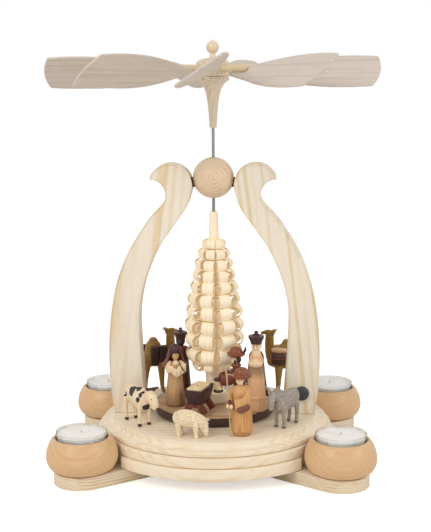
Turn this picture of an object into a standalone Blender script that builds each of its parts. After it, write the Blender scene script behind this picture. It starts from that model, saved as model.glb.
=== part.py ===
"""Tabletop candle carousel of natural wood, with an impeller, a shaved tree and a turntable.

Two scroll-cut arches stand on a stepped round base that lies on two crossed foot boards.
Tealights in four turned bowls warm the air, and the rising air turns a nine-bladed impeller.
Its steel shaft runs through a bush inside the ball between the arches, carries the shaved
tree and the turntable of figures, and spins on its point in a cup in the middle of the stage.

Frame: the origin lies on the shaft's axis at table level, +X to the right, +Y to the rear,
+Z up. Lengths are in metres and angles in degrees. Bearings are counted from +X toward +Y.
"""
import math

import bmesh
import bpy
from mathutils import Matrix, Vector

# Clearances and cuts
SEAT_GAP = 0.0003
OVERRUN = 0.002

# Crossed foot boards
BOARD_THICKNESS = 0.0105
BOARD_WIDTH = 0.0458
BOARD_BEARING = 36.0
BOARD_END_STEPS = 10

# Turned candle bowls
BOWL_HEIGHT = 0.0268
BOWL_FOOT_RADIUS = 0.0223
BOWL_RADIUS = 0.0288
BOWL_RIM_RADIUS = 0.0224
BOWL_WIDEST_SHARE = 0.37
BOWL_FLOOR = 0.0135
BOWL_CLEARANCE = 0.0024
BOWL_SIDES = 16

# Tealights
CUP_RADIUS = 0.02055
CUP_FOOT_RADIUS = 0.0198
CUP_HEIGHT = 0.0176
CUP_WALL = 0.0009
CUP_FIT = 0.0004
WAX_BELOW_RIM = 0.0024
WICK_RADIUS = 0.0009
WICK_ABOVE_WAX = 0.0032
WICK_SIDES = 6

# Base disc with four notches, drum and stage plate
DISC_NOTCH_DEPTH = 0.0073
DISC_THICKNESS = 0.0086
NOTCH_CLEARANCE = 0.0022
DISC_ARC_STEPS = 9
NOTCH_STEPS = 6
DRUM_NOTCH_DEPTH = 0.0033
DRUM_HEIGHT = 0.0076
STAGE_RADIUS = 0.0872
STAGE_THICKNESS = 0.0093
STAGE_RIM_REACH = 0.0088
STAGE_RIM_THICKNESS = 0.0042
STAGE_COVE = 0.0036
STAGE_SIDES = 40

# Steel shaft and the cup under its point
SHAFT_RADIUS = 0.00125
SHAFT_FIT = 0.0004
SHAFT_POINT = 0.003
SHAFT_SIDES = 8
THRUST_CUP_RADIUS = 0.004
THRUST_CUP_HEIGHT = 0.0052
THRUST_HOLLOW_RADIUS = 0.0028
THRUST_HOLLOW_DEPTH = 0.0024
THRUST_SIDES = 12

# Bearing ball, its bush and the dowels to the arches
BALL_RADIUS = 0.0172
BALL_ABOVE_HEADS = 0.0059
BALL_SIDES = 18
BALL_STEPS = 8
BUSH_RADIUS = 0.003
BUSH_LENGTH = 0.0305
BUSH_SIDES = 10
DOWEL_RADIUS = 0.0042
DOWEL_DROP = 0.0037
DOWEL_IN_BALL = 0.005
DOWEL_IN_ARCH = 0.0075
DOWEL_SIDES = 10

# Scroll-cut arches
ARCH_THICKNESS = 0.022
ARCH_REACH = 0.089
ARCH_HEIGHT = 0.2123
ARCH_BALL_GAP = 0.0006
HEAD_RADIUS = 0.0183
HEAD_STEPS = 12
HEAD_END_BEARING = 200.0
NOTCH_RADIUS = 0.0127
NOTCH_OUT = 0.0167
NOTCH_DOWN = 0.0076
SCROLL_NOTCH_STEPS = 7
SCROLL_NOTCH_END = 230.0
EDGE_STEPS = 2
OUTER_EDGE_SHARES = (
    (0.960, 0.0), (0.997, 0.155), (0.999, 0.282), (0.970, 0.418),
    (0.908, 0.541), (0.792, 0.660), (0.611, 0.779),
)
INNER_EDGE_SHARES = (
    (0.254, 0.826), (0.398, 0.739), (0.525, 0.660), (0.645, 0.541),
    (0.704, 0.418), (0.701, 0.282), (0.683, 0.164), (0.653, 0.0),
)

# Plain domed button on the right arch
BUTTON_RADIUS = 0.0062
BUTTON_HEIGHT = 0.0022
BUTTON_RIM_SHARE = 0.45
BUTTON_SIDES = 16
BUTTON_OUT = 0.074
BUTTON_UP = 0.0185

# Turntable
TURNTABLE_LIFT = 0.0013
TURNTABLE_RADIUS = 0.0515
TURNTABLE_THICKNESS = 0.007
TURNTABLE_UNDERCUT = 0.0012
TURNTABLE_RIM = 0.0008
TURNTABLE_SIDES = 34
INLAY_THICKNESS = 0.001

# Shaved tree
SOCKET_RADIUS = 0.0103
SOCKET_HEIGHT = 0.009
SOCKET_TOP_SHARE = 0.9
SOCKET_SIDES = 12
TREE_FOOT_HEIGHT = 0.0185
TREE_FOOT_RADIUS = 0.0076
TREE_CORE_RADIUS = 0.0044
TREE_TIP_RADIUS = 0.0034
TREE_TIP_LENGTH = 0.0235
TREE_TIP_ROUND = 0.0014
TREE_CHAMFER_SHARE = 0.62
TREE_COLUMNS = 8
TREE_TURN = 9.0
ROW_SPACING_LOW = 0.0134
ROW_SPACING_HIGH = 0.008
FOOT_ROW_SHARE = 0.58
TREE_RADIUS = 0.0246
ROW_RADIUS_SHARES = (0.74, 0.93, 0.98, 1.0, 0.94, 0.88, 0.79, 0.71, 0.625, 0.54, 0.45)
SHAVING_THICKNESS = 0.00045
SHAVING_WIDTH_SHARE = 0.82
SHAVING_SECTOR_SHARE = 0.9
SHAVING_ROOT_SHARE = 0.16
SHAVING_ROOT_THICKNESS = 0.0008
SHAVING_CORNERS = ((-1, -1), (1, -1), (1, 1), (-1, 1))
CURL_DIAMETER_SHARE = 0.84
CURL_MARGIN_SHARE = 0.04
CURL_START_ANGLE = 35.0
CURL_TURN = 345.0
CURL_TIGHTEN_SHARE = 0.44
CURL_STEPS = 5

# Impeller hub, turned funnel below and turned head above
FUNNEL_LENGTH = 0.0409
FUNNEL_FOOT_RADIUS = 0.0029
FUNNEL_DISC_RADIUS = 0.0134
FUNNEL_DISC_THICKNESS = 0.0025
FUNNEL_GROOVE = 0.0007
FUNNEL_ABOVE_BALL = 0.0412
FUNNEL_SPIGOT_RADIUS = 0.0035
FUNNEL_SPIGOT_HEIGHT = 0.0035
FUNNEL_BORE_LEFT = 0.0045
FUNNEL_SIDES = 14
FUNNEL_SHARES = ((0.0, 0.0), (0.10, 0.40), (0.24, 0.64), (0.40, 0.77), (0.65, 0.88))
HEAD_TURNED_RADIUS = 0.0142
HEAD_TURNED_HEIGHT = 0.0154
HEAD_TURNED_SHARES = (
    (0.90, 0.0), (1.0, 0.14), (1.0, 0.66), (0.80, 0.92), (0.30, 1.0),
)
HEAD_TURNED_SIDES = 18
FINIAL_RADIUS = 0.0052
FINIAL_HEIGHT = 0.0145
FINIAL_BALL_SHARE = 0.58
FINIAL_NECK_SHARE = 0.46
FINIAL_TENON_RADIUS = 0.0021
FINIAL_TENON_LENGTH = 0.005
FINIAL_SIDES = 10

# Impeller blades
BLADE_COUNT = 9
BLADE_FIRST_BEARING = -92.2
BLADE_PITCH = 33.0
STEM_ABOVE_DISC = 0.0068
STEM_RADIUS = 0.0031
STEM_END = 0.045
STEM_ROUND = 0.0016
STEM_SIDES = 8
TENON_RADIUS = 0.0021
TENON_FIT = 0.0003
TENON_LENGTH = 0.0056
STEM_HUB_GAP = 0.0006
BLADE_ROOT = 0.0205
BLADE_CORNER = 0.1323
BLADE_TIP = 0.1362
BLADE_HALF_CHORD = 0.0205
BLADE_THICKNESS = 0.0018
BLADE_UNDER_STEM = 0.0025
BLADE_SWELL_SHARE = 1.09
BLADE_SWEEP_SHARE = 0.62
BLADE_EDGE_STEPS = 5
BLADE_TIP_STEPS = 4

# Animals and people: heights, and the circles about the shaft that they stand on
FIGURE_SIDES = 9
ARM_SIDES = 4
LIMB_SIDES = 8
NECK_SIDES = 6
LEG_SIDES = 4
COW_HEIGHT = 0.0314
COW_CIRCLE_RADIUS = 0.0722
SHEEP_HEIGHT = 0.0216
SHEEP_CIRCLE_RADIUS = 0.0733
DONKEY_HEIGHT = 0.0302
DONKEY_CIRCLE_RADIUS = 0.0725
CAMEL_HEIGHT = 0.0497
CAMEL_CIRCLE_RADIUS = 0.0775
SHEPHERD_HEIGHT = 0.056
SHEPHERD_CIRCLE_RADIUS = 0.0694
STAFF_RADIUS = 0.0006
STAFF_HEIGHT = 0.0575
STAFF_CIRCLE_RADIUS = 0.0735
STAFF_SIDES = 6
WOMAN_HEIGHT = 0.0531
WOMAN_CIRCLE_RADIUS = 0.0354
LEFT_KING_HEIGHT = 0.0625
LEFT_KING_CIRCLE_RADIUS = 0.034
RIGHT_KING_HEIGHT = 0.068
RIGHT_KING_CIRCLE_RADIUS = 0.0444
BEARER_HEIGHT = 0.0522
BEARER_CIRCLE_RADIUS = 0.0322

# Crib
CRIB_LENGTH = 0.0286
CRIB_WIDTH = 0.0149
CRIB_HEIGHT = 0.0215
CRIB_DEPTH = 0.0114
CRIB_WALL = 0.0014
CRIB_FLARE_SHARE = 0.7
CRIB_FOOT_SHARE = 0.55
CRIB_LEG_TOP_SHARE = 0.3
CRIB_LEG_PLACE_SHARE = 0.31
CRIB_LEG_HALF_WIDTH = 0.0027
CRIB_LEG_HALF_THICKNESS = 0.0014
CRIB_CIRCLE_RADIUS = 0.0357
CRIB_BEARING = -108.6
CRIB_HEADING = 72.0
CHILD_TAPER_SHARE = 0.8
CHILD_DEPTH_SHARE = 0.35

# Animals facing +X, as shares of their height: stations of (along, across, up, half width, half
# depth) for body, neck and whatever stands up, then the legs' front, rear, across, top and half width
COW_SHARES = {
    "body": ((-0.54, 0, 0.76, 0.10, 0.14), (-0.44, 0, 0.74, 0.19, 0.25), (0.0, 0, 0.71, 0.22, 0.28),
             (0.36, 0, 0.73, 0.21, 0.27), (0.50, 0, 0.74, 0.12, 0.17)),
    "necks": (((0.34, 0, 0.80, 0.13, 0.16), (0.62, 0.03, 0.86, 0.14, 0.17),
               (0.80, 0.07, 0.72, 0.13, 0.14), (0.90, 0.09, 0.56, 0.09, 0.09)),),
    "ears": ((0.62, 0.06, 0.93, 0.045, 0.045), (0.66, 0.24, 1.02, 0.02, 0.02)),
    "legs": (0.36, -0.38, 0.135, 0.60, 0.06),
}
SHEEP_SHARES = {
    "body": ((-0.66, 0, 0.66, 0.14, 0.16), (-0.54, 0, 0.66, 0.26, 0.29), (-0.05, 0, 0.67, 0.30, 0.33),
             (0.42, 0, 0.68, 0.25, 0.28), (0.60, 0, 0.66, 0.14, 0.18)),
    "necks": (((0.40, 0, 0.72, 0.18, 0.20), (0.70, 0, 0.62, 0.16, 0.19),
               (0.86, 0, 0.36, 0.12, 0.14), (0.92, 0, 0.12, 0.08, 0.09)),),
    "ears": ((0.72, 0.08, 0.66, 0.05, 0.05), (0.70, 0.26, 0.74, 0.02, 0.03)),
    "legs": (0.40, -0.44, 0.17, 0.56, 0.08),
}
DONKEY_SHARES = {
    "body": ((-0.48, 0, 0.75, 0.09, 0.13), (-0.38, 0, 0.72, 0.17, 0.23), (0.0, 0, 0.70, 0.18, 0.23),
             (0.32, 0, 0.72, 0.17, 0.23), (0.44, 0, 0.74, 0.10, 0.15)),
    "necks": (((0.28, 0, 0.77, 0.11, 0.17), (0.60, 0, 0.86, 0.11, 0.15),
               (0.74, 0, 0.72, 0.11, 0.13), (0.81, 0, 0.56, 0.08, 0.09)),),
    "ears": ((0.58, 0.05, 0.92, 0.05, 0.05), (0.55, 0.18, 1.22, 0.018, 0.03)),
    "legs": (0.31, -0.31, 0.12, 0.60, 0.065),
}
CAMEL_SHARES = {
    "body": ((-0.30, 0, 0.64, 0.07, 0.09), (-0.23, 0, 0.64, 0.12, 0.15), (0.0, 0, 0.64, 0.13, 0.17),
             (0.22, 0, 0.62, 0.11, 0.15), (0.32, 0, 0.60, 0.06, 0.09)),
    "necks": (((-0.04, 0, 0.70, 0.12, 0.16), (-0.05, 0, 0.90, 0.09, 0.12), (-0.06, 0, 1.0, 0.04, 0.05)),
              ((0.18, 0, 0.62, 0.08, 0.12), (0.29, 0, 0.68, 0.07, 0.10), (0.31, 0, 0.90, 0.055, 0.07),
               (0.29, 0, 1.14, 0.04, 0.05)),
              ((0.24, 0, 1.13, 0.05, 0.05), (0.35, 0, 1.12, 0.055, 0.06), (0.48, 0, 1.06, 0.035, 0.04))),
    "ears": ((0.26, 0.03, 1.14, 0.025, 0.025), (0.20, 0.07, 1.18, 0.012, 0.012)),
    "legs": (0.13, -0.18, 0.075, 0.60, 0.05),
}
CAMEL_LOAD_SHARES = {"size": (0.28, 0.38, 0.32), "place": (0.07, 0, 0.71)}

# Turned figures, as shares of their height: (radius, height) of robes and of heads with what they
# wear, the hands' (ahead, across, up), and stations of what the hands hold
ROBE_SHARES = ((0.125, 0.0), (0.155, 0.08), (0.115, 0.48), (0.090, 0.64))
SLIM_ROBE_SHARES = ((0.100, 0.0), (0.122, 0.08), (0.092, 0.48), (0.072, 0.64))
KING_ROBE_SHARES = ((0.104, 0.0), (0.112, 0.17), (0.100, 0.20), (0.080, 0.55), (0.066, 0.67))
HAIR_SHARES = ((0.055, 0.71), (0.085, 0.76), (0.105, 0.84), (0.085, 0.94), (0.045, 0.99))
HAT_SHARES = ((0.05, 0.71), (0.078, 0.78), (0.078, 0.84), (0.128, 0.875), (0.085, 0.91), (0.06, 0.98))
CROWN_SHARES = ((0.045, 0.72), (0.070, 0.78), (0.070, 0.86), (0.108, 0.895), (0.072, 0.92), (0.04, 0.985))
SLEEVE_SHARES = {"shoulder": 0.66, "elbow": 0.31, "bend": 0.35, "half_width": 0.035, "wrist": 0.025}
SPREAD_SHARES = {"shoulder": 0.075, "elbow": 0.125}
WOMAN_SHARES = {
    "hands": (0.15, 0.07, 0.55), "held_sides": 4,
    "held": ((0.13, -0.13, 0.56, 0.10, 0.018), (0.13, 0.15, 0.56, 0.10, 0.018)),
}
LEFT_KING_SHARES = {"hands": (0.06, 0.17, 0.58)}
RIGHT_KING_SHARES = {
    "hands": (0.10, 0.05, 0.57), "held_sides": 6,
    "held": ((0.10, -0.07, 0.60, 0.05, 0.04), (0.10, 0.07, 0.60, 0.05, 0.04)),
}
BEARER_SHARES = {
    "hands": (0.28, 0.05, 0.44), "held_sides": 4,
    "held": ((0.33, 0, 0.33, 0.095, 0.095), (0.33, 0, 0.53, 0.095, 0.095)),
}
SHEPHERD_SHARES = {
    "hands": (0.14, 0.03, 0.46), "held_sides": 4,
    "held": ((0.02, 0.15, 0.46, 0.05, 0.075), (0.02, 0.20, 0.46, 0.05, 0.075)),
}

# Heights that follow from the sizes above
DISC_BOTTOM = BOARD_THICKNESS + SEAT_GAP
DRUM_BOTTOM = DISC_BOTTOM + DISC_THICKNESS + SEAT_GAP
STAGE_BOTTOM = DRUM_BOTTOM + DRUM_HEIGHT + SEAT_GAP
STAGE_TOP = STAGE_BOTTOM + STAGE_THICKNESS
TURNTABLE_BOTTOM = STAGE_TOP + TURNTABLE_LIFT
TURNTABLE_TOP = TURNTABLE_BOTTOM + TURNTABLE_THICKNESS
SOCKET_TOP = TURNTABLE_TOP + SEAT_GAP + SOCKET_HEIGHT
ARCH_FOOT = STAGE_TOP + SEAT_GAP
BALL_HEIGHT = ARCH_FOOT + ARCH_HEIGHT - HEAD_RADIUS + BALL_ABOVE_HEADS
FUNNEL_FOOT = BALL_HEIGHT + FUNNEL_ABOVE_BALL
FUNNEL_TOP = FUNNEL_FOOT + FUNNEL_LENGTH
HUB_HEAD_BOTTOM = FUNNEL_TOP + SEAT_GAP
HUB_HEAD_TOP = HUB_HEAD_BOTTOM + HEAD_TURNED_HEIGHT
STEM_HEIGHT = FUNNEL_TOP + STEM_ABOVE_DISC
SHAFT_BORE = SHAFT_RADIUS + SHAFT_FIT
HEAD_OUT = math.sqrt((BALL_RADIUS + ARCH_BALL_GAP + HEAD_RADIUS) ** 2 - BALL_ABOVE_HEADS ** 2)
WAX_INSET = CUP_WALL + SEAT_GAP

# The bowls' circle, clear of the stage's rim, and the discs below it, as deep in the notches as given
BOWL_CIRCLE_RADIUS = STAGE_RADIUS + STAGE_RIM_REACH + BOWL_CLEARANCE + BOWL_RADIUS
BASE_NOTCH_RADIUS = BOWL_RADIUS + NOTCH_CLEARANCE
DISC_RADIUS = BOWL_CIRCLE_RADIUS - BASE_NOTCH_RADIUS + DISC_NOTCH_DEPTH
DRUM_RADIUS = BOWL_CIRCLE_RADIUS - BASE_NOTCH_RADIUS + DRUM_NOTCH_DEPTH

WOODS = {
    "ash": ((0.79, 0.68, 0.50), 0.55),
    "beech": ((0.64, 0.42, 0.22), 0.45),
    "linden": ((0.82, 0.71, 0.53), 0.6),
    "maple": ((0.55, 0.45, 0.33), 0.5),
    "walnut": ((0.07, 0.035, 0.025), 0.4),
    "pear": ((0.42, 0.28, 0.17), 0.5),
    "hay": ((0.72, 0.55, 0.33), 0.6),
    "camel_brown": ((0.20, 0.12, 0.04), 0.5),
    "donkey_grey": ((0.30, 0.29, 0.27), 0.5),
    "cow_white": ((0.85, 0.78, 0.65), 0.55),
    "robe_ochre": ((0.55, 0.30, 0.12), 0.5),
    "robe_peach": ((0.70, 0.45, 0.27), 0.5),
    "robe_brown": ((0.16, 0.05, 0.03), 0.5),
    "wax": ((0.93, 0.93, 0.92), 0.35),
    "wick": ((0.80, 0.78, 0.72), 0.9),
    "clear_plastic": ((0.85, 0.88, 0.90), 0.08),
    "button_grey": ((0.05, 0.05, 0.055), 0.35),
}
METALS = {
    "steel": ((0.40, 0.40, 0.41), 0.3),
    "brass": ((0.70, 0.50, 0.20), 0.3),
}


def clear_scene():
    """Remove whatever the open file holds, so that only the carousel is left."""
    for obj in list(bpy.data.objects):
        bpy.data.objects.remove(obj, do_unlink=True)


def new_material(name):
    """A plain surface in the piece's own colour, roughness and metallic value."""
    colour, roughness = METALS[name] if name in METALS else WOODS[name]
    material = bpy.data.materials.new(name)
    material.use_nodes = True
    shader = material.node_tree.nodes["Principled BSDF"]
    shader.inputs["Base Color"].default_value = (*colour, 1.0)
    shader.inputs["Roughness"].default_value = roughness
    shader.inputs["Metallic"].default_value = 1.0 if name in METALS else 0.0
    return material


def axis_empty(name, place, parent=None):
    """An empty on a joint's axis, which carries the pieces that move about it."""
    empty = bpy.data.objects.new(name, None)
    empty.location = place
    empty.parent = parent
    bpy.context.scene.collection.objects.link(empty)
    return empty


def piece(name, bm, surface, place=(0, 0, 0), turn=None, parent=None):
    """Turn a bmesh into a named object with one material and tidy normals."""
    bmesh.ops.recalc_face_normals(bm, faces=bm.faces)
    mesh = bpy.data.meshes.new(name)
    bm.to_mesh(mesh)
    bm.free()
    mesh.materials.append(bpy.data.materials.get(surface) or new_material(surface))
    mesh.shade_smooth()
    mesh.set_sharp_from_angle(angle=math.radians(35.0))
    obj = bpy.data.objects.new(name, mesh)
    bpy.context.scene.collection.objects.link(obj)
    obj.matrix_basis = Matrix.Translation(place) @ (turn or Matrix.Identity(4))
    obj.parent = parent
    return obj


def combine(target, operation, *tools):
    """Cut the tools from a piece or fuse them to it, and keep them as hidden guides."""
    for tool in tools:
        tool.hide_render = True
        tool.display_type = "WIRE"
        step = target.modifiers.new(tool.name, "BOOLEAN")
        step.operation = operation
        step.object = tool
    return target


def spin_about(axis, degrees):
    return Matrix.Rotation(math.radians(degrees), 4, axis)


def polar(distance, bearing, height=0.0):
    """The point at a distance and bearing from the shaft's axis."""
    angle = math.radians(bearing)
    return Vector((distance * math.cos(angle), distance * math.sin(angle), height))


def turned(profile, sides, closed=False):
    """Revolve (radius, height) points about Z; a closed profile leaves a bore through the middle.

    Returns the bmesh and its bands of faces, one list for each step of the profile.
    """
    bm = bmesh.new()
    rings = []
    for radius, height in profile:
        if radius == 0:
            rings.append([bm.verts.new((0, 0, height))])
            continue
        angles = [math.tau * side / sides for side in range(sides)]
        rings.append([bm.verts.new((radius * math.cos(a), radius * math.sin(a), height)) for a in angles])
    bands = []
    steps = list(zip(rings, rings[1:]))
    if closed:
        steps.append((rings[-1], rings[0]))
    for low, high in steps:
        band = []
        for side in range(sides):
            after = (side + 1) % sides
            corners = [low[side % len(low)], low[after % len(low)]]
            corners += [high[after % len(high)], high[side % len(high)]]
            band.append(bm.faces.new(list(dict.fromkeys(corners))))
        bands.append(band)
    return bm, bands


def bored(profile, bore):
    """Close a turned profile with a straight bore from its last point back to its first."""
    return [(bore, profile[0][1])] + list(profile) + [(bore, profile[-1][1])]


def cylinder(radius, low, high, sides):
    return turned([(0, low), (radius, low), (radius, high), (0, high)], sides)[0]


def drilled(target, radius, low, high, sides):
    """Drill a hole along a piece's own Z axis, between two heights of the piece."""
    drill = piece(f"{target.name}_drill", cylinder(radius, low, high, sides), target.active_material.name)
    drill.parent = target
    return combine(target, "DIFFERENCE", drill)


def plate(outline, thickness):
    """A flat piece from its outline in X and Y, as thick as given, upward from zero."""
    bm = bmesh.new()
    face = bm.faces.new([bm.verts.new((x, y, 0)) for x, y in outline])
    lifted = bmesh.ops.extrude_face_region(bm, geom=[face])["geom"]
    corners = [item for item in lifted if isinstance(item, bmesh.types.BMVert)]
    bmesh.ops.translate(bm, verts=corners, vec=(0, 0, thickness))
    return bm


def box(size, centre=(0, 0, 0)):
    bm = bmesh.new()
    bmesh.ops.create_cube(bm, size=1.0)
    bmesh.ops.scale(bm, vec=size, verts=bm.verts)
    bmesh.ops.translate(bm, vec=centre, verts=bm.verts)
    return bm


def arc(centre, radius, start, end, steps):
    """Points of an arc, both ends included, with its angles in degrees."""
    angles = [math.radians(start + (end - start) * step / steps) for step in range(steps + 1)]
    return [(centre[0] + radius * math.cos(a), centre[1] + radius * math.sin(a)) for a in angles]


def smooth_edge(points, steps):
    """A Catmull-Rom curve through the points, with the given steps between each pair."""
    line = [Vector(point) for point in points]
    padded = [line[0] * 2 - line[1]] + line + [line[-1] * 2 - line[-2]]
    curve = []
    for before, start, end, after in zip(padded, padded[1:], padded[2:], padded[3:]):
        for step in range(steps):
            t = step / steps
            bend = (end - before) * t + (before * 2 - start * 5 + end * 4 - after) * t ** 2
            curve.append(start + (bend + (start * 3 - before - end * 3 + after) * t ** 3) / 2)
    return [tuple(point) for point in curve] + [tuple(line[-1])]


def limb(stations, sides):
    """A closed tube through stations (x, y, z, half width across, half depth) of an animal or arm.

    Its width lies along Y where the tube runs in the XZ plane, and square to its run elsewhere.
    """
    bm = bmesh.new()
    centres = [Vector(station[:3]) for station in stations]
    rings = []
    for index, station in enumerate(stations):
        before = centres[max(index - 1, 0)]
        after = centres[min(index + 1, len(centres) - 1)]
        run = (after - before).normalized()
        depth = run.cross(Vector((0, 1, 0))).normalized()
        width = depth.cross(run)
        ring = []
        for side in range(sides):
            angle = math.tau * (side + 0.5) / sides
            offset = width * math.cos(angle) * station[3] + depth * math.sin(angle) * station[4]
            ring.append(bm.verts.new(centres[index] + offset))
        rings.append(ring)
    for low, high in zip(rings, rings[1:]):
        for side in range(sides):
            after = (side + 1) % sides
            bm.faces.new((low[side], low[after], high[after], high[side]))
    bm.faces.new(rings[0])
    bm.faces.new(rings[-1])
    return bm


def grown(bm, face, corners):
    """Extrude one quad face and move its corners, kept in order, to the places given."""
    face = bmesh.ops.extrude_discrete_faces(bm, faces=[face])["faces"][0]
    for loop, corner in zip(face.loops, corners):
        loop.vert.co = corner
    return face


# Base


def foot_boards():
    """Two boards with round ends, halved into each other where they cross."""
    reach = BOWL_CIRCLE_RADIUS
    end = BOARD_WIDTH / 2
    outline = arc((reach, 0), end, -90, 90, BOARD_END_STEPS)
    outline += arc((-reach, 0), end, 90, 270, BOARD_END_STEPS)
    half_lap = BOARD_THICKNESS / 2 - SEAT_GAP / 2
    for name, bearing, other, low in (
        ("foot_board_lower", BOARD_BEARING, -BOARD_BEARING, BOARD_THICKNESS - half_lap - SEAT_GAP),
        ("foot_board_upper", -BOARD_BEARING, BOARD_BEARING, -OVERRUN),
    ):
        board = piece(name, plate(outline, BOARD_THICKNESS), "ash", turn=spin_about("Z", bearing))
        high = BOARD_THICKNESS + OVERRUN if low > 0 else half_lap + SEAT_GAP
        slot = box((reach, BOARD_WIDTH + SEAT_GAP * 2, high - low), (0, 0, (high + low) / 2))
        combine(board, "DIFFERENCE", piece(f"{name}_slot", slot, "ash", turn=spin_about("Z", other)))


def bowl_bearings():
    """The bowls' names and bearings, from the front right one round to the rear right one."""
    return (
        ("front_right", -BOARD_BEARING), ("front_left", BOARD_BEARING - 180),
        ("rear_left", 180 - BOARD_BEARING), ("rear_right", BOARD_BEARING),
    )


def notched(radius):
    """The outline of a base disc, cut out round each candle bowl."""
    notch = BASE_NOTCH_RADIUS
    share = (radius ** 2 + BOWL_CIRCLE_RADIUS ** 2 - notch ** 2) / (2 * radius * BOWL_CIRCLE_RADIUS)
    half_gap = math.degrees(math.acos(share))
    corner = Vector((radius, 0)) - polar(BOWL_CIRCLE_RADIUS, half_gap).to_2d()
    swing = math.degrees(math.atan2(abs(corner.y), -corner.x)) + half_gap
    bearings = sorted(bearing for _, bearing in bowl_bearings())
    outline = []
    for bearing, after in zip(bearings, bearings[1:] + [bearings[0] + 360]):
        middle = polar(BOWL_CIRCLE_RADIUS, bearing).to_2d()
        cut = arc(middle, notch, bearing + 180 + swing, bearing + 180 - swing, NOTCH_STEPS)
        outline += cut[1:-1] + arc((0, 0), radius, bearing + half_gap, after - half_gap, DISC_ARC_STEPS)
    return outline


def base():
    """The lowest disc and the drum, both notched, and the stage plate on them.

    The plate's edge is coved down to a rim, and the cup for the shaft's point is let into its middle.
    """
    piece("base_disc", plate(notched(DISC_RADIUS), DISC_THICKNESS), "ash", (0, 0, DISC_BOTTOM))
    piece("base_drum", plate(notched(DRUM_RADIUS), DRUM_HEIGHT), "ash", (0, 0, DRUM_BOTTOM))
    rim = STAGE_RADIUS + STAGE_RIM_REACH
    cove = arc((STAGE_RADIUS + STAGE_COVE, STAGE_RIM_THICKNESS + STAGE_COVE), STAGE_COVE, 270, 180, 2)
    profile = [(0, 0), (rim, 0), (rim, STAGE_RIM_THICKNESS)] + cove
    profile += [(STAGE_RADIUS, STAGE_THICKNESS), (0, STAGE_THICKNESS)]
    stage = piece("stage_plate", turned(profile, STAGE_SIDES)[0], "ash", (0, 0, STAGE_BOTTOM))
    floor = STAGE_THICKNESS - THRUST_CUP_HEIGHT - SEAT_GAP
    drilled(stage, THRUST_CUP_RADIUS + SEAT_GAP, floor, STAGE_THICKNESS + OVERRUN, THRUST_SIDES)
    hollow = THRUST_CUP_HEIGHT - THRUST_HOLLOW_DEPTH
    cup = [
        (0, 0), (THRUST_CUP_RADIUS, 0), (THRUST_CUP_RADIUS, THRUST_CUP_HEIGHT),
        (THRUST_HOLLOW_RADIUS, THRUST_CUP_HEIGHT), (0, hollow),
    ]
    place = (0, 0, STAGE_TOP - THRUST_CUP_HEIGHT)
    piece("thrust_cup", turned(cup, THRUST_SIDES)[0], "brass", place)


def candle_bowls():
    """Four turned bowls, each with a tealight that lifts out along its own axis."""
    widest = BOWL_HEIGHT * BOWL_WIDEST_SHARE
    side = []
    for step in range(2):
        angle = math.radians(90 * step / 2)
        radius = BOWL_FOOT_RADIUS + (BOWL_RADIUS - BOWL_FOOT_RADIUS) * math.sin(angle)
        side.append((radius, widest * (1 - math.cos(angle))))
    for step in range(4):
        angle = math.radians(90 * step / 3)
        height = widest + (BOWL_HEIGHT - widest) * math.sin(angle)
        radius = BOWL_RIM_RADIUS + (BOWL_RADIUS - BOWL_RIM_RADIUS) * math.cos(angle) ** 1.3
        side.append((radius, height))
    bore = CUP_RADIUS + CUP_FIT
    bowl = [(0, 0)] + side + [(bore, BOWL_HEIGHT), (bore, BOWL_FLOOR), (0, BOWL_FLOOR)]
    for name, bearing in bowl_bearings():
        middle = polar(BOWL_CIRCLE_RADIUS, bearing, BOARD_THICKNESS + SEAT_GAP)
        piece(f"candle_bowl_{name}", turned(bowl, BOWL_SIDES)[0], "beech", middle)
        seat = axis_empty(f"tealight_axis_{name}", middle + Vector((0, 0, BOWL_FLOOR + SEAT_GAP)))
        tealight(name, seat)


def tealight(name, seat):
    """A clear cup filled with wax nearly to its rim, and a short wick."""
    cup = [
        (0, 0), (CUP_FOOT_RADIUS, 0), (CUP_RADIUS, CUP_HEIGHT), (CUP_RADIUS - CUP_WALL, CUP_HEIGHT),
        (CUP_FOOT_RADIUS - CUP_WALL, CUP_WALL), (0, CUP_WALL),
    ]
    piece(f"tealight_cup_{name}", turned(cup, BOWL_SIDES)[0], "clear_plastic", parent=seat)
    low = CUP_WALL + SEAT_GAP
    high = CUP_HEIGHT - WAX_BELOW_RIM
    hole = WICK_RADIUS + SEAT_GAP
    top = CUP_FOOT_RADIUS + (CUP_RADIUS - CUP_FOOT_RADIUS) * high / CUP_HEIGHT - WAX_INSET
    wax = turned([(0, low), (CUP_FOOT_RADIUS - WAX_INSET, low), (top, high), (0, high)], BOWL_SIDES)[0]
    drilled(piece(f"wax_{name}", wax, "wax", parent=seat), hole, low + CUP_WALL, high + OVERRUN, WICK_SIDES)
    wick = cylinder(WICK_RADIUS, low + CUP_WALL + SEAT_GAP, high + WICK_ABOVE_WAX, WICK_SIDES)
    piece(f"wick_{name}", wick, "wick", parent=seat)


# Arches and ball


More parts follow.
